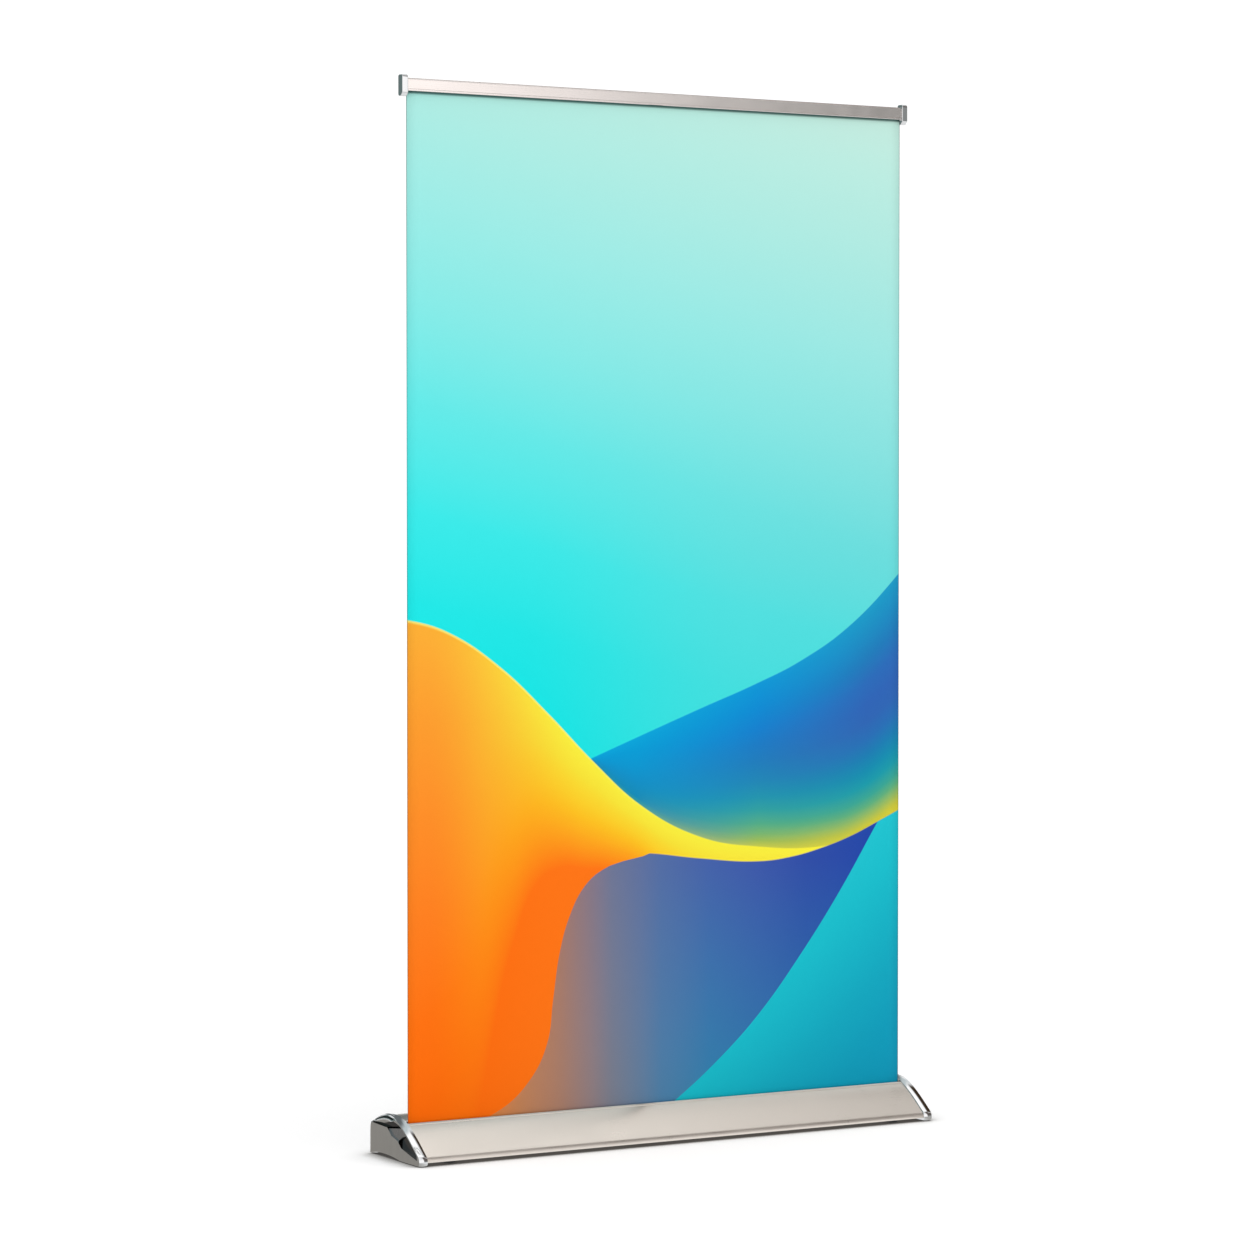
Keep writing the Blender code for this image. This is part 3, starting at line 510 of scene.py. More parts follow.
# %% [markdown]
# ## Tools for meshes
# Nearly every piece here is an extrusion or a turned part. So two helpers start a bmesh:
# `extruded` draws an outline out to a length, and `spun` turns a profile round an upright
# axis. `piece` writes the mesh, sets smooth shading, and hangs the piece on its body of
# the CAD model.

# %% Mesh helpers
def clamped(share):
    """A share kept between 0 and 1."""
    return max(0.0, min(1.0, share))


def only_verts(geometry):
    """The vertices among some bmesh elements."""
    return [item for item in geometry if isinstance(item, bmesh.types.BMVert)]


def extruded(outline, low, high, upwards=False):
    """Bmesh of a (y, z) outline drawn out along X, or of an (x, y) outline drawn upwards."""
    work = bmesh.new()
    spots = [(*point, low) if upwards else (low, *point) for point in outline]
    face = work.faces.new([work.verts.new(spot) for spot in spots])
    grown = bmesh.ops.extrude_face_region(work, geom=[face], use_keep_orig=True)["geom"]
    reach = (0, 0, high - low) if upwards else (high - low, 0, 0)
    bmesh.ops.translate(work, verts=only_verts(grown), vec=reach)
    bmesh.ops.recalc_face_normals(work, faces=work.faces)
    return work


def spun(profile, x, y, steps=64, closed=False):
    """Bmesh of a (radius, height) profile spun round an upright axis."""
    work = bmesh.new()
    corners = [work.verts.new((x + radius, y, height)) for radius, height in profile]
    pairs = list(zip(corners, corners[1:]))
    if closed:
        pairs.append((corners[-1], corners[0]))
    edges = [work.edges.new(pair) for pair in pairs]
    bmesh.ops.spin(work, geom=corners + edges, cent=(x, y, 0), axis=(0, 0, 1), angle=math.tau,
                   steps=steps, use_merge=True, use_normal_flip=False)
    bmesh.ops.remove_doubles(work, verts=work.verts, dist=1e-6)
    bmesh.ops.recalc_face_normals(work, faces=work.faces)
    return work


def round_edges(work, edges, width, segments=2):
    """Bevel some edges of a bmesh."""
    bmesh.ops.bevel(work, geom=edges, offset=width, offset_type="OFFSET", segments=segments,
                    profile=0.5, affect="EDGES", material=-1, clamp_overlap=True)


def sharp_edges(work, degrees=30):
    """Edges between faces that meet at more than an angle."""
    limit = math.radians(degrees)
    return [e for e in work.edges if len(e.link_faces) == 2 and e.calc_face_angle(0) > limit]


def as_object(name, work):
    """Write a bmesh into a new object of the scene."""
    mesh = bpy.data.meshes.new(name)
    work.to_mesh(mesh)
    work.free()
    made = bpy.data.objects.new(name, mesh)
    bpy.context.scene.collection.objects.link(made)
    return made


def piece(name, work, body, finishes, stands_for=(), sharp=35, even_shine=True):
    """Write a bmesh as a finished piece that rides on a body."""
    made = as_object(name, work)
    made.data.shade_smooth()
    made.data.set_sharp_from_angle(angle=math.radians(sharp))
    for finish in finishes:
        made.data.materials.append(finish)
    if even_shine:
        shine = made.modifiers.new("even shine", "WEIGHTED_NORMAL")
        shine.keep_sharp = True
    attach(made, body)
    if stands_for:
        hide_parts(*stands_for)
    print(f"{name}: {len(made.data.polygons)} faces on {body}")
    return made


def cubic(corners, t):
    """Point at t on the cubic curve of four control points."""
    weights = ((1 - t) ** 3, 3 * t * (1 - t) ** 2, 3 * t * t * (1 - t), t ** 3)
    return tuple(sum(w * corner[k] for w, corner in zip(weights, corners)) for k in (0, 1))


def curve_points(corners, steps):
    """Points along a cubic curve, both ends included."""
    return [cubic(corners, i / steps) for i in range(steps + 1)]


def from_film(points):
    """Move (distance from the film, height) points to the model's Y."""
    return [(film_y + y, z) for y, z in points]


def corner(across, height, *steps):
    """Profile points at (across, up) steps in millimetres from one point."""
    return [(across + out / 1000, height + up_by / 1000) for out, up_by in steps]


def arc_points(center, radius, start, end, steps):
    """Points along a circular arc between two angles in degrees."""
    angles = [math.radians(start + (end - start) * i / steps) for i in range(steps + 1)]
    return [(center[0] + radius * math.cos(a), center[1] + radius * math.sin(a)) for a in angles]


# %% [markdown]
# ## The film
# One flat sheet hangs from the rail into the base. It is a grid with a UV map for the
# print, and Solidify gives it thickness: the front, the back and the cut edge each have
# their own finish. A wave of a third of a millimetre keeps it from looking like glass, and
# the metal doesn't mirror it. It rides on the rail's body.

# %% Make the film
film_thickness = 0.0004
film_columns, film_rows = 40, 72
film_length = film_top - film_foot
slot_height = 0.072
sway = 0.0003


def hang(z):
    """Share of the way up from the slot to the rail."""
    return (z - slot_height) / (rail_foot - slot_height)


work = bmesh.new()
bmesh.ops.create_grid(work, x_segments=film_columns, y_segments=film_rows, size=0.5)
bmesh.ops.scale(work, verts=work.verts, vec=(2 * film_half, film_length, 1))
bmesh.ops.rotate(work, verts=work.verts, cent=(0, 0, 0),
                 matrix=Matrix.Rotation(math.radians(90), 3, "X"))
bmesh.ops.translate(work, verts=work.verts, vec=(0, film_y, (film_top + film_foot) / 2))
for vert in work.verts:
    bulge = math.sin(math.pi * clamped(hang(vert.co.z)))
    vert.co.y += sway * bulge * math.sin(7.0 * vert.co.x + 2.0 * vert.co.z)
uv = work.loops.layers.uv.new("print")
for face in work.faces:
    for loop in face.loops:
        loop[uv].uv = ((loop.vert.co.x + film_half) / (2 * film_half), hang(loop.vert.co.z))
film = piece("printed_banner", work, "rail", [made_print, film_back, film_core],
             ["banner_sheet"], even_shine=False)
film.data.uv_layers["print"].active = True
film.visible_glossy = False
wall = film.modifiers.new("film thickness", "SOLIDIFY")
wall.thickness = film_thickness
wall.offset = 0
wall.material_offset, wall.material_offset_rim = 1, 2

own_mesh(film)

# %% [markdown]
# ## The top rail
# The rail is two extrusions: a back with a round groove along its top, and a front that
# swings on a bead in that groove and clamps the film. Seen from the front it is a plain
# satin band with a small lip along its lower edge, which catches the light. Both are
# outlines drawn out along X, with their long edges rounded so that they shine.

# %% Make the rail's front and back
hinge_y, hinge_up = -0.0053, 0.0218


def round_long_edges(work, width, segments=2, degrees=25):
    """Bevel the edges that run along X and are sharper than an angle."""
    long_edges = [e for e in sharp_edges(work, degrees)
                  if abs(e.verts[0].co.x - e.verts[1].co.x) > 0.01]
    round_edges(work, long_edges, width, segments)


def on_rail(points):
    """Move (distance from the film, height above the rail's foot) points into place."""
    return [(film_y + y, rail_foot + z) for y, z in points]


bead = arc_points((hinge_y, hinge_up), 0.0029, -80, 130, 20)
front_face, front_inside, lip_out = -0.0085, -0.0065, -0.0094
front_outline = bead + [(front_face, 0.0228), (front_face, 0.0040), (lip_out, 0.0032),
                        (lip_out, 0.0), (front_inside, 0.0), (front_inside, 0.0173)]
work = extruded(on_rail(front_outline), -film_half, film_half)
round_long_edges(work, 0.00035, 3)
piece("rail_front", work, "rail_clamp", [satin_rail], ["rail_front_clamp"])

groove = arc_points((hinge_y, hinge_up), 0.0031, 100, -50, 16)
rail_rear = rail_high.y - film_y
rail_height = rail_high.z - rail_foot
back_outline = [(rail_rear, 0.0), (rail_rear, rail_height), (groove[0][0], rail_height)] + groove
back_outline += [(0.0010, 0.0194), (0.0010, 0.0)]
work = extruded(on_rail(back_outline), -film_half, film_half)
round_long_edges(work, 0.0004, 3, 40)
piece("rail_rear", work, "rail", [satin_rail], ["rail_back"])

# %% [markdown]
# The rail's end caps stand a little above and below it, with round shoulders and a
# slanting lower front corner. They are plated like the caps on the base. The bracket
# behind the rail is a bent steel strip, and its two ears keep the pole's head in place.

# %% Make the rail's end caps and bracket
rear_round, front_round, corner_cut = 0.004, 0.006, 0.007
for side in ("left", "right"):
    low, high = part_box(f"rail_cap_{side}")
    front, rear = low.y - film_y, high.y - film_y
    foot, top = low.z - rail_foot, high.z - rail_foot
    outline = [(rear, foot + rear_round)]
    outline += arc_points((rear - rear_round, top - rear_round), rear_round, 0, 90, 10)
    outline += arc_points((front + front_round, top - front_round), front_round, 90, 180, 14)
    outline += [(front, foot + corner_cut), (front + corner_cut, foot), (rear - 0.003, foot)]
    work = extruded(on_rail(outline), low.x, high.x)
    round_edges(work, sharp_edges(work, 40), 0.0009, 3)
    piece(f"rail_end_{side}", work, "rail", [chrome], [f"rail_cap_{side}"])

low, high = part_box("rail_bracket")
ear, web = high.x, low.y + 0.002
ear_inside = ear - 0.0025
outline = [(-ear, low.y), (ear, low.y), (ear, high.y), (ear_inside, high.y), (ear_inside, web),
           (-ear_inside, web), (-ear_inside, high.y), (-ear, high.y)]
work = extruded(outline, low.z, high.z, upwards=True)
round_edges(work, sharp_edges(work, 40), 0.0004, 2)
piece("rail_pole_bracket", work, "rail", [zinc], ["rail_bracket"])

# %% [markdown]
# ## The shape of the base
# From the side the base is a low hood: a long slope in front, a round crest behind the
# film and a short fall to an upright back. The same curve shapes the front panel, the
# deck and the end caps, each a little further in, so the caps stand proud. It is two
# Bezier arcs. `hood_height` looks a height up on the curve with a simple search.

# %% The hood curve
hood_front = ((-0.0915, 0.0225), (-0.0515, 0.0530), (-0.0040, 0.0902), (0.0450, 0.0902))
hood_rear = ((0.0450, 0.0902), (0.0750, 0.0902), (0.1050, 0.0770), (0.1246, 0.0660))


def stepped_in(point, before, after, inset):
    """A point moved to the right of the way from the point before it to the one after it."""
    dy, dz = after[0] - before[0], after[1] - before[1]
    length = math.hypot(dy, dz)
    return point[0] + inset * dz / length, point[1] - inset * dy / length


def hood_point(t, inset=0.0):
    """Point on the hood, t 0 to 1 up the front and 1 to 2 down the rear."""
    corners, share = (hood_front, t) if t <= 1 else (hood_rear, t - 1)
    behind, ahead = (cubic(corners, clamped(share + step)) for step in (-0.001, 0.001))
    return stepped_in(cubic(corners, share), behind, ahead, inset)


def hood_height(y, inset=0.0):
    """Height of the hood at a distance from the film."""
    low, high = 0.0, 2.0
    for _ in range(40):
        middle = (low + high) / 2
        if hood_point(middle, inset)[0] < y:
            low = middle
        else:
            high = middle
    return hood_point(low, inset)[1]


def hood_run(start, end, inset, steps):
    """Points along the hood between two distances from the film."""
    places = [start + (end - start) * i / steps for i in range(steps + 1)]
    return [(y, hood_height(y, inset)) for y in places]


print("hood crest at", round(hood_height(0.045), 4))

# %% [markdown]
# ## The front panel
# This is the face of the base: a bead and a groove beside the slot, a broad slope, and a
# rounded lip along the floor. One outline holds all of it, as in the real die, and the
# long edges are rounded so that the bead and the groove draw fine light and dark lines.

# %% Make the front panel
skin_inset, skin_wall = 0.0030, 0.0018
slot_front, bead_end, groove_end, field_end = -0.0060, -0.0105, -0.0120, -0.0892
bead_inset, groove_inset, side_run = 0.0022, 0.0040, 0.0002
slot_drop, lip_foot, flange_end = 0.0670, 0.0072, -0.0800
lip_curve = [(-0.0937, 0.0183), (-0.0985, lip_foot), (-0.0915, lip_foot)]

outline = [(slot_front, slot_drop), (slot_front, hood_height(slot_front, bead_inset)),
           (bead_end, hood_height(bead_end, bead_inset))]
outline += hood_run(bead_end - side_run, groove_end, groove_inset, 1)
outline += hood_run(groove_end - side_run, field_end, skin_inset, 40)
outline += curve_points([outline[-1]] + lip_curve, 20)[1:]
outline += [(flange_end, lip_foot), (flange_end, lip_foot + skin_wall),
            (-0.0912, lip_foot + skin_wall), (-0.0930, 0.0120), (-0.0912, 0.0172)]
outline += hood_run(-0.0870, slot_front - skin_wall, skin_inset + skin_wall, 24)
outline += [(slot_front - skin_wall, slot_drop)]
work = extruded(from_film(outline), -skin_half, skin_half)
round_long_edges(work, 0.0003, 2, 30)
piece("base_front", work, "base", [satin], ["front_panel"])

# %% [markdown]
# ## The deck, back and floor of the base
# One bent skin makes the deck behind the slot, the upright back and the floor. It starts
# as an open path, drawn out along X. The corners are rounded while it is still thin, and
# Solidify then gives the wall. The hole for the pole's socket is cut last.

# %% Make the housing
def evaluated(name, work, modifiers):
    """Apply modifiers to a bmesh through a passing object; returns a new bmesh."""
    passing = as_object(name, work)
    mesh = passing.data
    for kind, settings in modifiers:
        step = passing.modifiers.new(kind, kind)
        for key, value in settings.items():
            setattr(step, key, value)
    result = bmesh.new()
    result.from_object(passing, bpy.context.evaluated_depsgraph_get())
    bpy.data.objects.remove(passing)
    bpy.data.meshes.remove(mesh)
    return result


def combined(name, work, tools, operation="DIFFERENCE"):
    """Cut tools out of a bmesh, or add them; returns a new bmesh and removes the tools."""
    result = evaluated(name, work, [
        ("BOOLEAN", {"object": tool, "operation": operation, "solver": "EXACT"}) for tool in tools])
    for tool in tools:
        bpy.data.objects.remove(tool)
    return result


housing_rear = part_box("base_housing")[1].y - film_y
slot_rear, floor_height, upturn = 0.0045, 0.0100, 0.0200
hole_radius, hole_height = 0.0178, 0.085
path = [(slot_rear, slot_drop)] + hood_run(slot_rear, housing_rear, skin_inset, 48)
path += [(housing_rear, floor_height), (flange_end, floor_height), (flange_end, upturn)]
work = bmesh.new()
corners = [work.verts.new((-skin_half, y, z)) for y, z in from_film(path)]
edges = [work.edges.new(pair) for pair in zip(corners, corners[1:])]
grown = bmesh.ops.extrude_edge_only(work, edges=edges)["geom"]
bmesh.ops.translate(work, verts=only_verts(grown), vec=(2 * skin_half, 0, 0))
bmesh.ops.recalc_face_normals(work, faces=work.faces)
if max(work.faces, key=lambda f: f.calc_center_median().z).normal.z < 0:
    bmesh.ops.reverse_faces(work, faces=work.faces)
round_long_edges(work, 0.0022, 5, 30)
skin = {"thickness": skin_wall, "offset": -1, "use_even_offset": True}
work = evaluated("housing", work, [("SOLIDIFY", skin)])
hole = bmesh.new()
bmesh.ops.create_cone(hole, cap_ends=True, segments=64, radius1=hole_radius, radius2=hole_radius,
                      depth=0.06, matrix=Matrix.Translation((0, pole_y, hole_height)))
work = combined("housing", work, [as_object("pole_hole", hole)])
piece("base_deck", work, "base", [satin], ["base_housing"], sharp=30)

# %% [markdown]
# A strip of felt lies on each side of the slot, and wipes the film clean as it runs out.
# It is what makes the slot look black from the front.

# %% Make the slot's felt strips
felt_inset, felt_drop = 0.0042, 0.0035
for name, wall_y, reach in (("slot_felt_front", slot_front, 0.0042),
                            ("slot_felt_rear", slot_rear, -0.0030)):
    top = hood_height(wall_y, felt_inset)
    tip = wall_y + reach
    outline = [(wall_y, top), (wall_y, top - felt_drop), (tip, top - felt_drop * 0.75),
               (tip, top - felt_drop * 0.25)]
    work = extruded(from_film(outline), -film_half, film_half)
    piece(name, work, "base", [felt])

# %% [markdown]
# ## The end caps
# The caps close the base's ends. Each is a plated casting: its rim follows the hood and is
# slightly crowned across, so it draws one bright and one dark line of the studio. Its flank
# is a flat plate in a darker satin copy of the plating, which is a painted reflection.
# Between rim and plate the flank is scooped out, with a bright ledge, and the scoop is
# painted shade in near-black and dark grey copies of the plating. The casting is a loft:
# the same outline, moved in by a little more or less at each slice along X, and the slices
# are bridged. The scoop is then cut in two depths.

# %% The cap's outline and slices
cap_inner, cap_outer = cap_low.x, cap_high.x
cap_bottom = cap_low.z
hood_steps = 56
edge_round, crest_round = 0.0011, 0.0105


def cap_ring():
    """Side outline of the cap with, for each point, how wide its outer shoulder is."""
    toe = curve_points(((-0.0920, cap_bottom), (-0.1005, cap_bottom),
                        (-0.1000, 0.0160), hood_front[0]), 14)
    arch = curve_points(((0.1150, cap_bottom), (0.0950, 0.0085),
                         (0.0350, 0.0085), (-0.0100, cap_bottom)), 14)
    ring = [(p, edge_round) for p in toe]
    for i in range(1, hood_steps + 1):
        t = 2 * i / hood_steps
        y = hood_point(t)[0]
        grow = clamped((y - 0.002) / 0.026) * (1 - 0.45 * clamped((y - 0.05) / 0.07))
        ring.append((hood_point(t), edge_round + crest_round * grow * grow * (3 - 2 * grow)))
    heel = hood_rear[3][0]
    ring.append(((heel, 0.0600), 0.0030))
    rest = [(heel, 0.0480), (heel, 0.0200), (heel, cap_bottom)] + arch
    return ring + [(p, edge_round) for p in rest]


def moved_in(ring, amounts):
    """The outline with each point moved inwards by its own amount."""
    points = [p for p, _ in ring]
    return [stepped_in(point, points[i - 1], points[(i + 1) % len(points)], amounts[i])
            for i, point in enumerate(points)]


ring = cap_ring()
crown = 0.0012
slices = []
for share, inner_round in ((0.0, 0.0005), (0.03, 0.0), (0.2, 0.0), (0.4, 0.0), (0.58, 0.0)):
    drop = crown * (2 * share - 1) ** 2 + inner_round
    slices.append(([cap_inner + share * (cap_outer - cap_inner)] * len(ring), [drop] * len(ring)))
for share in (0.0, 0.25, 0.5, 0.75, 1.0):
    bend = share * math.pi / 2
    places = [cap_outer - width * 0.62 * (1 - math.sin(bend)) for _, width in ring]
    inward = [crown * 0.8 + width * (1 - math.cos(bend)) for _, width in ring]
    slices.append((places, inward))
print("cap:", len(ring), "points in each of", len(slices), "slices")


# %% Build, scoop and mirror the caps
def cap_casting():
    """The whole casting on the right side, before it is scooped."""
    work = bmesh.new()
    loops = []
    for places, inward in slices:
        spots = from_film(moved_in(ring, inward))
        verts = [work.verts.new((x, *spot)) for x, spot in zip(places, spots)]
        loops.append([work.edges.new(pair) for pair in zip(verts, verts[1:] + verts[:1])])
    for near, far in zip(loops, loops[1:]):
        bmesh.ops.bridge_loops(work, edges=near + far)
    for end in (loops[0], loops[-1]):
        bmesh.ops.edgeloop_fill(work, edges=end)
    bmesh.ops.recalc_face_normals(work, faces=work.faces)
    return work


past, hair = 0.004, 0.0002
shallow, deep_floor = cap_outer - 0.0032, cap_outer - 0.0080
rim_inset = 0.0034
rim_line = [hood_point(0.03 + 0.04 * i, rim_inset) for i in range(14)]
ledge_foot, ledge_top = (0.0426, 0.0611), (0.0478, 0.0635)
ledge_rise = hood_point(0.60, rim_inset)
blade = [(0.0271, 0.0484), (-0.0003, 0.0413), (-0.0174, 0.0286), (-0.0513, 0.0205),
         (-0.0880, 0.0122)]
wedge_top = [hood_point(0.40, rim_inset), (-0.0174, 0.0506)]
strip_top = [hood_point(0.63, rim_inset), (0.0014, 0.0757), (0.0168, 0.0790), (0.0271, 0.0775),
             (0.0582, 0.0712), (0.0825, 0.0700), (0.1034, 0.0690), (0.1225, 0.0668)]
strip_foot = [(0.1225, 0.0655), (0.0999, 0.0646), (0.0755, 0.0639), (0.0513, 0.0628)]


def scoop(name, points, floor, slant=0.0):
    """A cutter from a floor out past the cap's flank; its upper edge may go deeper."""
    work = extruded(from_film(points), floor, cap_outer + past)
    for vert in work.verts:
        if abs(vert.co.x - floor) < 1e-6 and slant:
            along = (ledge_foot[0] - (vert.co.y - film_y)) / (ledge_foot[0] - rim_line[-1][0])
            line = ledge_foot[1] + along * (rim_line[-1][1] - ledge_foot[1])
            vert.co.x -= slant * max(0.0, vert.co.z - line)
    return as_object(name, work)


def make_cap(side, sign):
    """One end cap with its finishes: rim and ledge, flank, deep scoop and shallow scoop."""
    wedge_rim = [p for p in rim_line if p[0] < wedge_top[0][0] - 0.001]
    tools = [scoop("mid", rim_line + [ledge_foot] + blade, shallow),
             scoop("ledge", [rim_line[-1], ledge_rise, ledge_top, ledge_foot], shallow, 1.1),
             scoop("wedge", wedge_rim + wedge_top + blade[1:], deep_floor),
             scoop("strip", strip_top + strip_foot + [ledge_top, ledge_rise], deep_floor)]
    work = combined("cap", cap_casting(), tools)
    bmesh.ops.remove_doubles(work, verts=work.verts, dist=1e-6)
    # Finishes by face: the outer plate takes the flank's painted grey reflection. The deep scoop
    # and its downward overhangs take near-black painted shade, and the shallow scoop takes dark
    # grey painted shade.
    for face in work.faces:
        centre, normal = face.calc_center_median(), face.normal
        out, faces_out = centre.x, normal.x > 0.9
        if out > cap_outer - hair and faces_out:
            face.material_index = 1
        elif abs(out - shallow) < hair and faces_out:
            face.material_index = 3
        elif deep_floor - hair < out < cap_outer - 0.0010 and faces_out:
            face.material_index = 2
        elif deep_floor - hair < out < cap_outer and normal.z < -0.3 and centre.z > 0.02:
            face.material_index = 2
    if sign < 0:
        bmesh.ops.scale(work, verts=work.verts, vec=(-1, 1, 1))
        bmesh.ops.recalc_face_normals(work, faces=work.faces)
    piece(f"base_end_{side}", work, "base", [chrome, flank, scoop_painted_shade_black, scoop_painted_shade_grey],
          [f"end_cap_{side}"], sharp=28)


for side, sign in (("left", -1), ("right", 1)):
    make_cap(side, sign)

# %% [markdown]
# ## The pole
# Three tubes slide in one another, and a ribbed collar on each joint locks it with a
# twist. The tubes are turned with fine rolled-in edges. The collars are spun too, and
# their ribs are made by moving the outer ring of points in and out round the axis.

# %% Make the tubes
tube_wall, tube_edge = 0.0012, 0.0003
for name in ("lower", "middle", "upper"):
    low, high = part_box(f"pole_{name}_tube")
    radius, bore, rolled = high.x, high.x - tube_wall, high.x - tube_edge
    profile = [(rolled, high.z), (radius, high.z - tube_edge), (radius, low.z + tube_edge),
               (rolled, low.z), (bore, low.z), (bore, high.z)]
    piece(f"pole_tube_{name}", spun(profile, 0, pole_y, closed=True), f"pole_{name}",
          [satin_tube], [f"pole_{name}_tube"])

# %% Make the twist collars
rib_count, rib_depth, clearance = 20, 0.0008, 0.0004
for name, outer_tube, inner_tube in (("lower", "lower", "middle"), ("upper", "middle", "upper")):
    low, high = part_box(f"lock_collar_{name}")
    grip, foot, lid = high.x, low.z, high.z
    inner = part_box(f"pole_{inner_tube}_tube")[1].x + clearance
    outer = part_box(f"pole_{outer_tube}_tube")[1].x + clearance
    sleeve_low, sleeve_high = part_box(f"lock_sleeve_{name}")
    sleeve, step = sleeve_high.x + clearance, sleeve_low.z - 0.0005
    profile = corner(grip, lid, (-2.2, 0), (-0.8, -0.6), (0, -2.2))
    profile += corner(grip, lid, *((0, -5 - 3 * i) for i in range(12)))
    profile += corner(grip, foot, (0, 7), (-0.7, 5.8)) + corner(outer, foot, (1.8, 0), (0, 0))
    profile += [(outer, step), (sleeve, step), (sleeve, lid - 0.0030), (inner, lid - 0.0030),
                (inner + 0.0004, lid)]
    work = spun(profile, 0, pole_y, rib_count * 8, closed=True)
    for vert in work.verts:
        reach = math.hypot(vert.co.x, vert.co.y - pole_y)
        if abs(reach - grip) < 1e-5:
            angle = math.atan2(vert.co.y - pole_y, vert.co.x)
            fade = clamped(min(lid - 0.0035 - vert.co.z, vert.co.z - foot - 0.0080) / 0.0030)
            cut = rib_depth * fade * (0.5 + 0.5 * math.cos(rib_count * angle)) ** 2
            vert.co.x *= 1 - cut / reach
            vert.co.y = pole_y + (vert.co.y - pole_y) * (1 - cut / reach)
    piece(f"twist_lock_{name}", work, f"lock_{name}", [plastic],
          [f"lock_collar_{name}"], sharp=40)

# %% [markdown]
# The head on top of the pole is a moulded plug. Its flat tongue stands behind the rail
# between the bracket's ears. The socket in the deck is a deep cup with a collar round its
# mouth and a soft edge, so that the pole finds its way in.

# %% Make the pole's head and socket
head_low, head_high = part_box("pole_head")
radius, top = head_high.x, head_high.z
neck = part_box("pole_upper_tube")[1].z + 0.0003
brow, plug = neck + 0.0340, 0.0078
profile = [(0, brow)] + corner(radius, brow, (-3, 0), (-1, -0.8), (0, -2.8))
profile += corner(radius, neck, (0, 8), (-0.9, 5)) + corner(0, neck, (10.8, 0.6), (10, 0))
profile += [(plug, neck), (plug, head_low.z), (0, head_low.z)]
head = spun(profile, 0, pole_y)

tongue_half, tongue_front, tongue_rear = 0.0110, head_low.y, pole_y + 0.0040
tongue_foot = neck + 0.0150
tongue = bmesh.new()
bmesh.ops.create_cube(tongue, size=1.0)
bmesh.ops.scale(tongue, verts=tongue.verts,
                vec=(2 * tongue_half, tongue_rear - tongue_front, top - tongue_foot))
bmesh.ops.translate(tongue, verts=tongue.verts,
                    vec=(0, (tongue_rear + tongue_front) / 2, (top + tongue_foot) / 2))
top_edges = [e for e in tongue.edges if min(v.co.z for v in e.verts) > top - 0.001]
round_edges(tongue, top_edges, 0.0030, 4)
round_edges(tongue, sharp_edges(tongue, 50), 0.0006, 2)
work = combined("head", head, [as_object("tongue", tongue)], "UNION")
piece("pole_top", work, "pole_upper", [plastic], ["pole_head"], sharp=32)

bore, outer = 0.0129, socket_high.x
cup_floor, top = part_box("pole_foot_plug")[0].z - 0.0003, socket_high.z
profile = [(0, cup_floor), (bore, cup_floor)]
profile += corner(bore, top, (0, -1.4), (0.5, -0.4), (1.4, 0))
profile += corner(outer, top, (-1.4, 0), (-0.4, -0.4), (0, -1.4))
profile += [(outer, socket_low.z), (0, socket_low.z)]
piece("pole_cup", spun(profile, 0, pole_y), "base", [plastic], ["pole_socket"])

# %% [markdown]
# ## The feet
# Four levelling feet screw out of the floor of the base. The pads are soft rubber, with a
# rounded rim and a shallow ring underneath. The studs carry a real thread: a small ridge
# spun round and up at once, which is what `spin` does when it is given a step.

# %% Make the feet
thread_pitch, core, crest = 0.00125, 0.0034, 0.0040
for number in range(1, 5):
    low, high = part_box(f"foot_pad_{number}")
    x, y = (low.x + high.x) / 2, (low.y + high.y) / 2
    radius, height = (high.x - low.x) / 2, high.z
    profile = [(0, height)] + corner(radius, height, (-2.6, 0), (-1, -0.5), (-0.2, -1.8), (0, -3))
    profile += corner(radius, 0, (-0.2, 1.2), (-1.2, 0.2), (-2.2, 0), (-4, 0), (-4.6, 0.6),
                      (-5.8, 0.6), (-6.4, 0)) + [(0, 0)]
    piece(f"foot_rubber_{number}", spun(profile, x, y), f"foot_{number}", [rubber],
          [f"foot_pad_{number}"])

    low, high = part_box(f"foot_stud_{number}")
    flange, flange_top = (high.x - low.x) / 2, low.z + 0.0014
    profile = [(0, high.z)] + corner(core, high.z, (-0.6, 0), (0, -0.6)) + [(core, flange_top)]
    profile += corner(flange, flange_top, (-0.3, 0), (0, -0.3)) + [(flange, low.z), (0, low.z)]
    work = spun(profile, x, y, 32)
    start = flange_top + 0.0006
    turns = (high.z - 0.0010 - start) / thread_pitch
    ridge = [work.verts.new((x + reach, y, start + lift)) for reach, lift in
             ((core - 0.0002, 0.0), (crest, thread_pitch * 0.40), (crest, thread_pitch * 0.50),
              (core - 0.0002, thread_pitch * 0.90))]
    ridge_face = work.faces.new(ridge)
    steps = int(turns * 20)
    rise = (0, 0, turns * thread_pitch / steps)
    bmesh.ops.spin(work, geom=[ridge_face, *ridge_face.edges, *ridge], cent=(x, y, 0),
                   axis=(0, 0, 1), dvec=rise, angle=turns * math.tau, steps=steps, use_merge=False)
    bmesh.ops.recalc_face_normals(work, faces=work.faces)
    piece(f"foot_screw_{number}", work, f"stud_{number}", [zinc],
          [f"foot_stud_{number}"], sharp=40)

# %% [markdown]
# ## Parts that keep their CAD shape
# The works inside the base are right as they are and only get their finish: the roller
# and its plugs, the spring and its shaft, the end plates, screws and nuts.

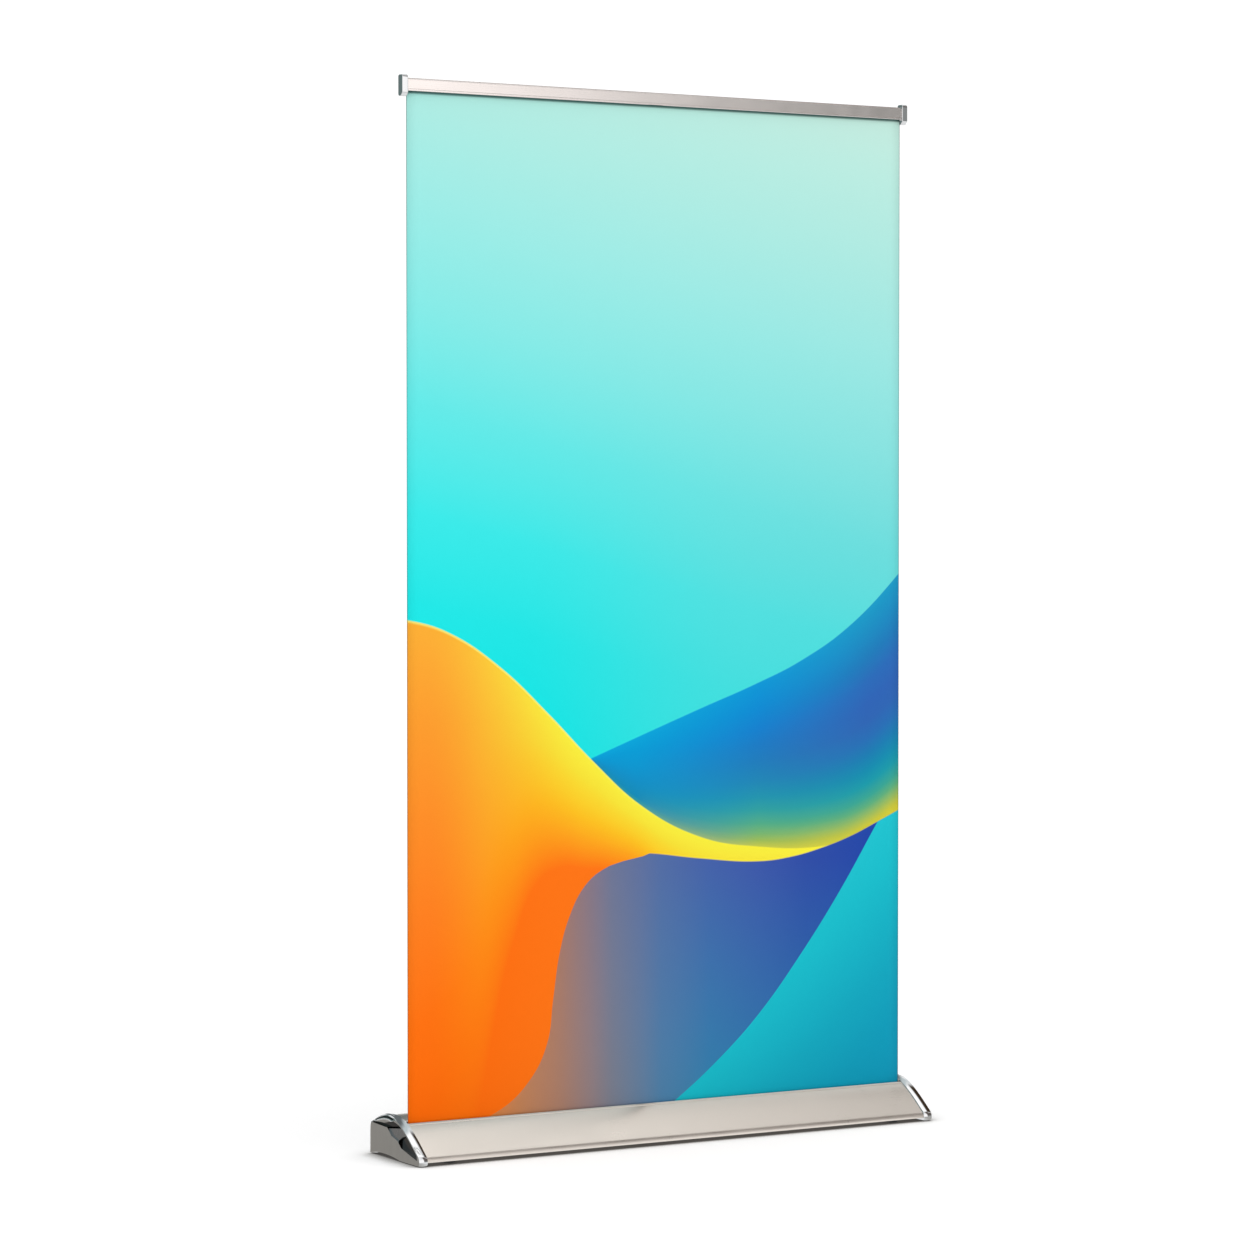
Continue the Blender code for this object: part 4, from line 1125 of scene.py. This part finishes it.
# %% Finish the CAD nodes
kept_finishes = {
    "satin_aluminium": satin, "chrome": chrome, "zinc_steel": zinc, "spring_steel": spring_steel,
    "black_plastic": plastic, "black_rubber": rubber, "printed_film": film_back,
}
slot_of = {part["node"]: part["material_slot"] for part in frame["record"]["subparts"]}
dressed = 0
for name, node in frame["nodes"].items():
    if node.hide_render:
        continue
    slots = node.data.materials
    if not slots:
        slots.append(None)
    for index in range(len(slots)):
        slots[index] = kept_finishes[slot_of[name]]
    dressed += 1
print("CAD nodes that keep their shape:", dressed)

# %% [markdown]
# ## The studio
# The floor is nearly white, with a painted contact shadow: its colour darkens where the
# base is close above it. The light comes from all round, as in a light tent, so colours
# stay true and shadows are soft. Polished metal needs something to reflect, or it looks
# like white plaster. So only for glossy rays the tent has grey and black flags at a few
# places, and the floor beside the base is dark, as if black card lay there. None of that
# is seen directly.

# %% Make the floor
floor_half, base_half, contact_reach = 40.0, 0.62, 0.045
work = bmesh.new()
bmesh.ops.create_grid(work, x_segments=1, y_segments=1, size=floor_half)
floor = as_object("studio_floor", work)

floor_finish = bpy.data.materials.new("studio floor")
floor_finish.use_nodes = True
tree = floor_finish.node_tree
tree.nodes.clear()
spot = put(tree, "ShaderNodeTexCoord").outputs["Object"]
sideways = put(tree, "ShaderNodeSeparateXYZ", {0: spot}).outputs[0]
beyond = minus(calc("ABSOLUTE", sideways), base_half)
near_side = times(spread(beyond, -0.03, 0.0), spread(beyond, 1.5, 0.35))
card = ramp(near_side, [(0.0, (0.9, 0.9, 0.9)), (1.0, (0.46, 0.45, 0.43))])
# Painted contact shadow: ambient occlusion darkens the floor's colour where the base is near.
closeness = put(tree, "ShaderNodeAmbientOcclusion", {"Distance": contact_reach}, samples=8)
shade = ramp(spread(closeness.outputs["AO"], 0.25, 0.95),
             [(0.0, (0.12, 0.115, 0.11)), (0.5, (0.48, 0.47, 0.46)), (1.0, (0.95, 0.95, 0.95))])
floor_painted_shadow_diffuse = put(tree, "ShaderNodeBsdfDiffuse", {"Color": shade})
glow = put(tree, "ShaderNodeEmission", {"Color": shade, "Strength": 0.15})
lit_floor = put(tree, "ShaderNodeAddShader", {0: floor_painted_shadow_diffuse.outputs[0], 1: glow.outputs[0]})
card_seen = put(tree, "ShaderNodeEmission", {"Color": card})
glossy = put(tree, "ShaderNodeLightPath").outputs["Is Glossy Ray"]
mixed = put(tree, "ShaderNodeMixShader",
            {0: glossy, 1: lit_floor.outputs[0], 2: card_seen.outputs[0]})
put(tree, "ShaderNodeOutputMaterial", {0: mixed.outputs[0]})
floor.data.materials.append(floor_finish)
print("floor", 2 * floor_half, "m wide")

# %% Hang the light tent
world = bpy.data.worlds.new("light tent")
bpy.context.scene.world = world
world.use_nodes = True
tree = world.node_tree
tree.nodes.clear()
way = put(tree, "ShaderNodeTexCoord").outputs["Generated"]
east, north, height = put(tree, "ShaderNodeSeparateXYZ", {0: way}).outputs
compass = times(calc("ARCTAN2", east, north), 180 / math.pi)
rise = times(calc("ARCSINE", height), 180 / math.pi)


def flag(compass_from, compass_to, rise_from, rise_to, soft):
    """Mask of a soft-edged panel between two compass angles and two heights, in degrees."""
    mask = spread(compass, compass_from - soft, compass_from + soft, smooth=True)
    for value, high in ((compass, compass_to), (rise, rise_to)):
        mask = times(mask, spread(value, high + soft, high - soft, smooth=True))
    return times(mask, spread(rise, rise_from - soft, rise_from + soft, smooth=True))


tent, backdrop_white = 1.0, 1.09
seen = (tent, tent, tent, 1.0)
for colour, mask in (((1.34, 1.33, 1.31, 1.0), flag(58, 112, 62, 100, 4)),
                     ((0.60, 0.67, 0.68, 1.0), flag(28, 56, 35, 74, 5)),
                     ((1.20, 1.17, 1.16, 1.0), flag(151, 200, -12, 30, 3)),
                     ((0.15, 0.165, 0.17, 1.0), flag(-4, 42, 10, 95, 6)),
                     ((0.34, 0.41, 0.43, 1.0), flag(-150, -25, 28, 95, 9)),
                     ((0.050, 0.032, 0.019, 1.0), flag(60, 112, 22, 55, 4)),
                     ((0.28, 0.29, 0.285, 1.0), flag(60, 149.5, -5, 16, 2.5)),
                     ((0.14, 0.12, 0.11, 1.0), flag(118, 149.5, 10, 58, 2.5)),
                     ((0.15, 0.20, 0.195, 1.0), flag(-75, -8, -4, 24, 4))):
    seen = blend(mask, seen, colour)
rays = put(tree, "ShaderNodeLightPath").outputs
white = calc("MULTIPLY_ADD", rays["Is Camera Ray"], backdrop_white - tent, tent)
plain_tent = put(tree, "ShaderNodeCombineColor", {0: white, 1: white, 2: white}).outputs[0]
shown = blend(rays["Is Glossy Ray"], plain_tent, seen)
backdrop = put(tree, "ShaderNodeBackground", {"Color": shown, "Strength": 1.0})
put(tree, "ShaderNodeOutputWorld", {0: backdrop.outputs[0]})
print("studio ready")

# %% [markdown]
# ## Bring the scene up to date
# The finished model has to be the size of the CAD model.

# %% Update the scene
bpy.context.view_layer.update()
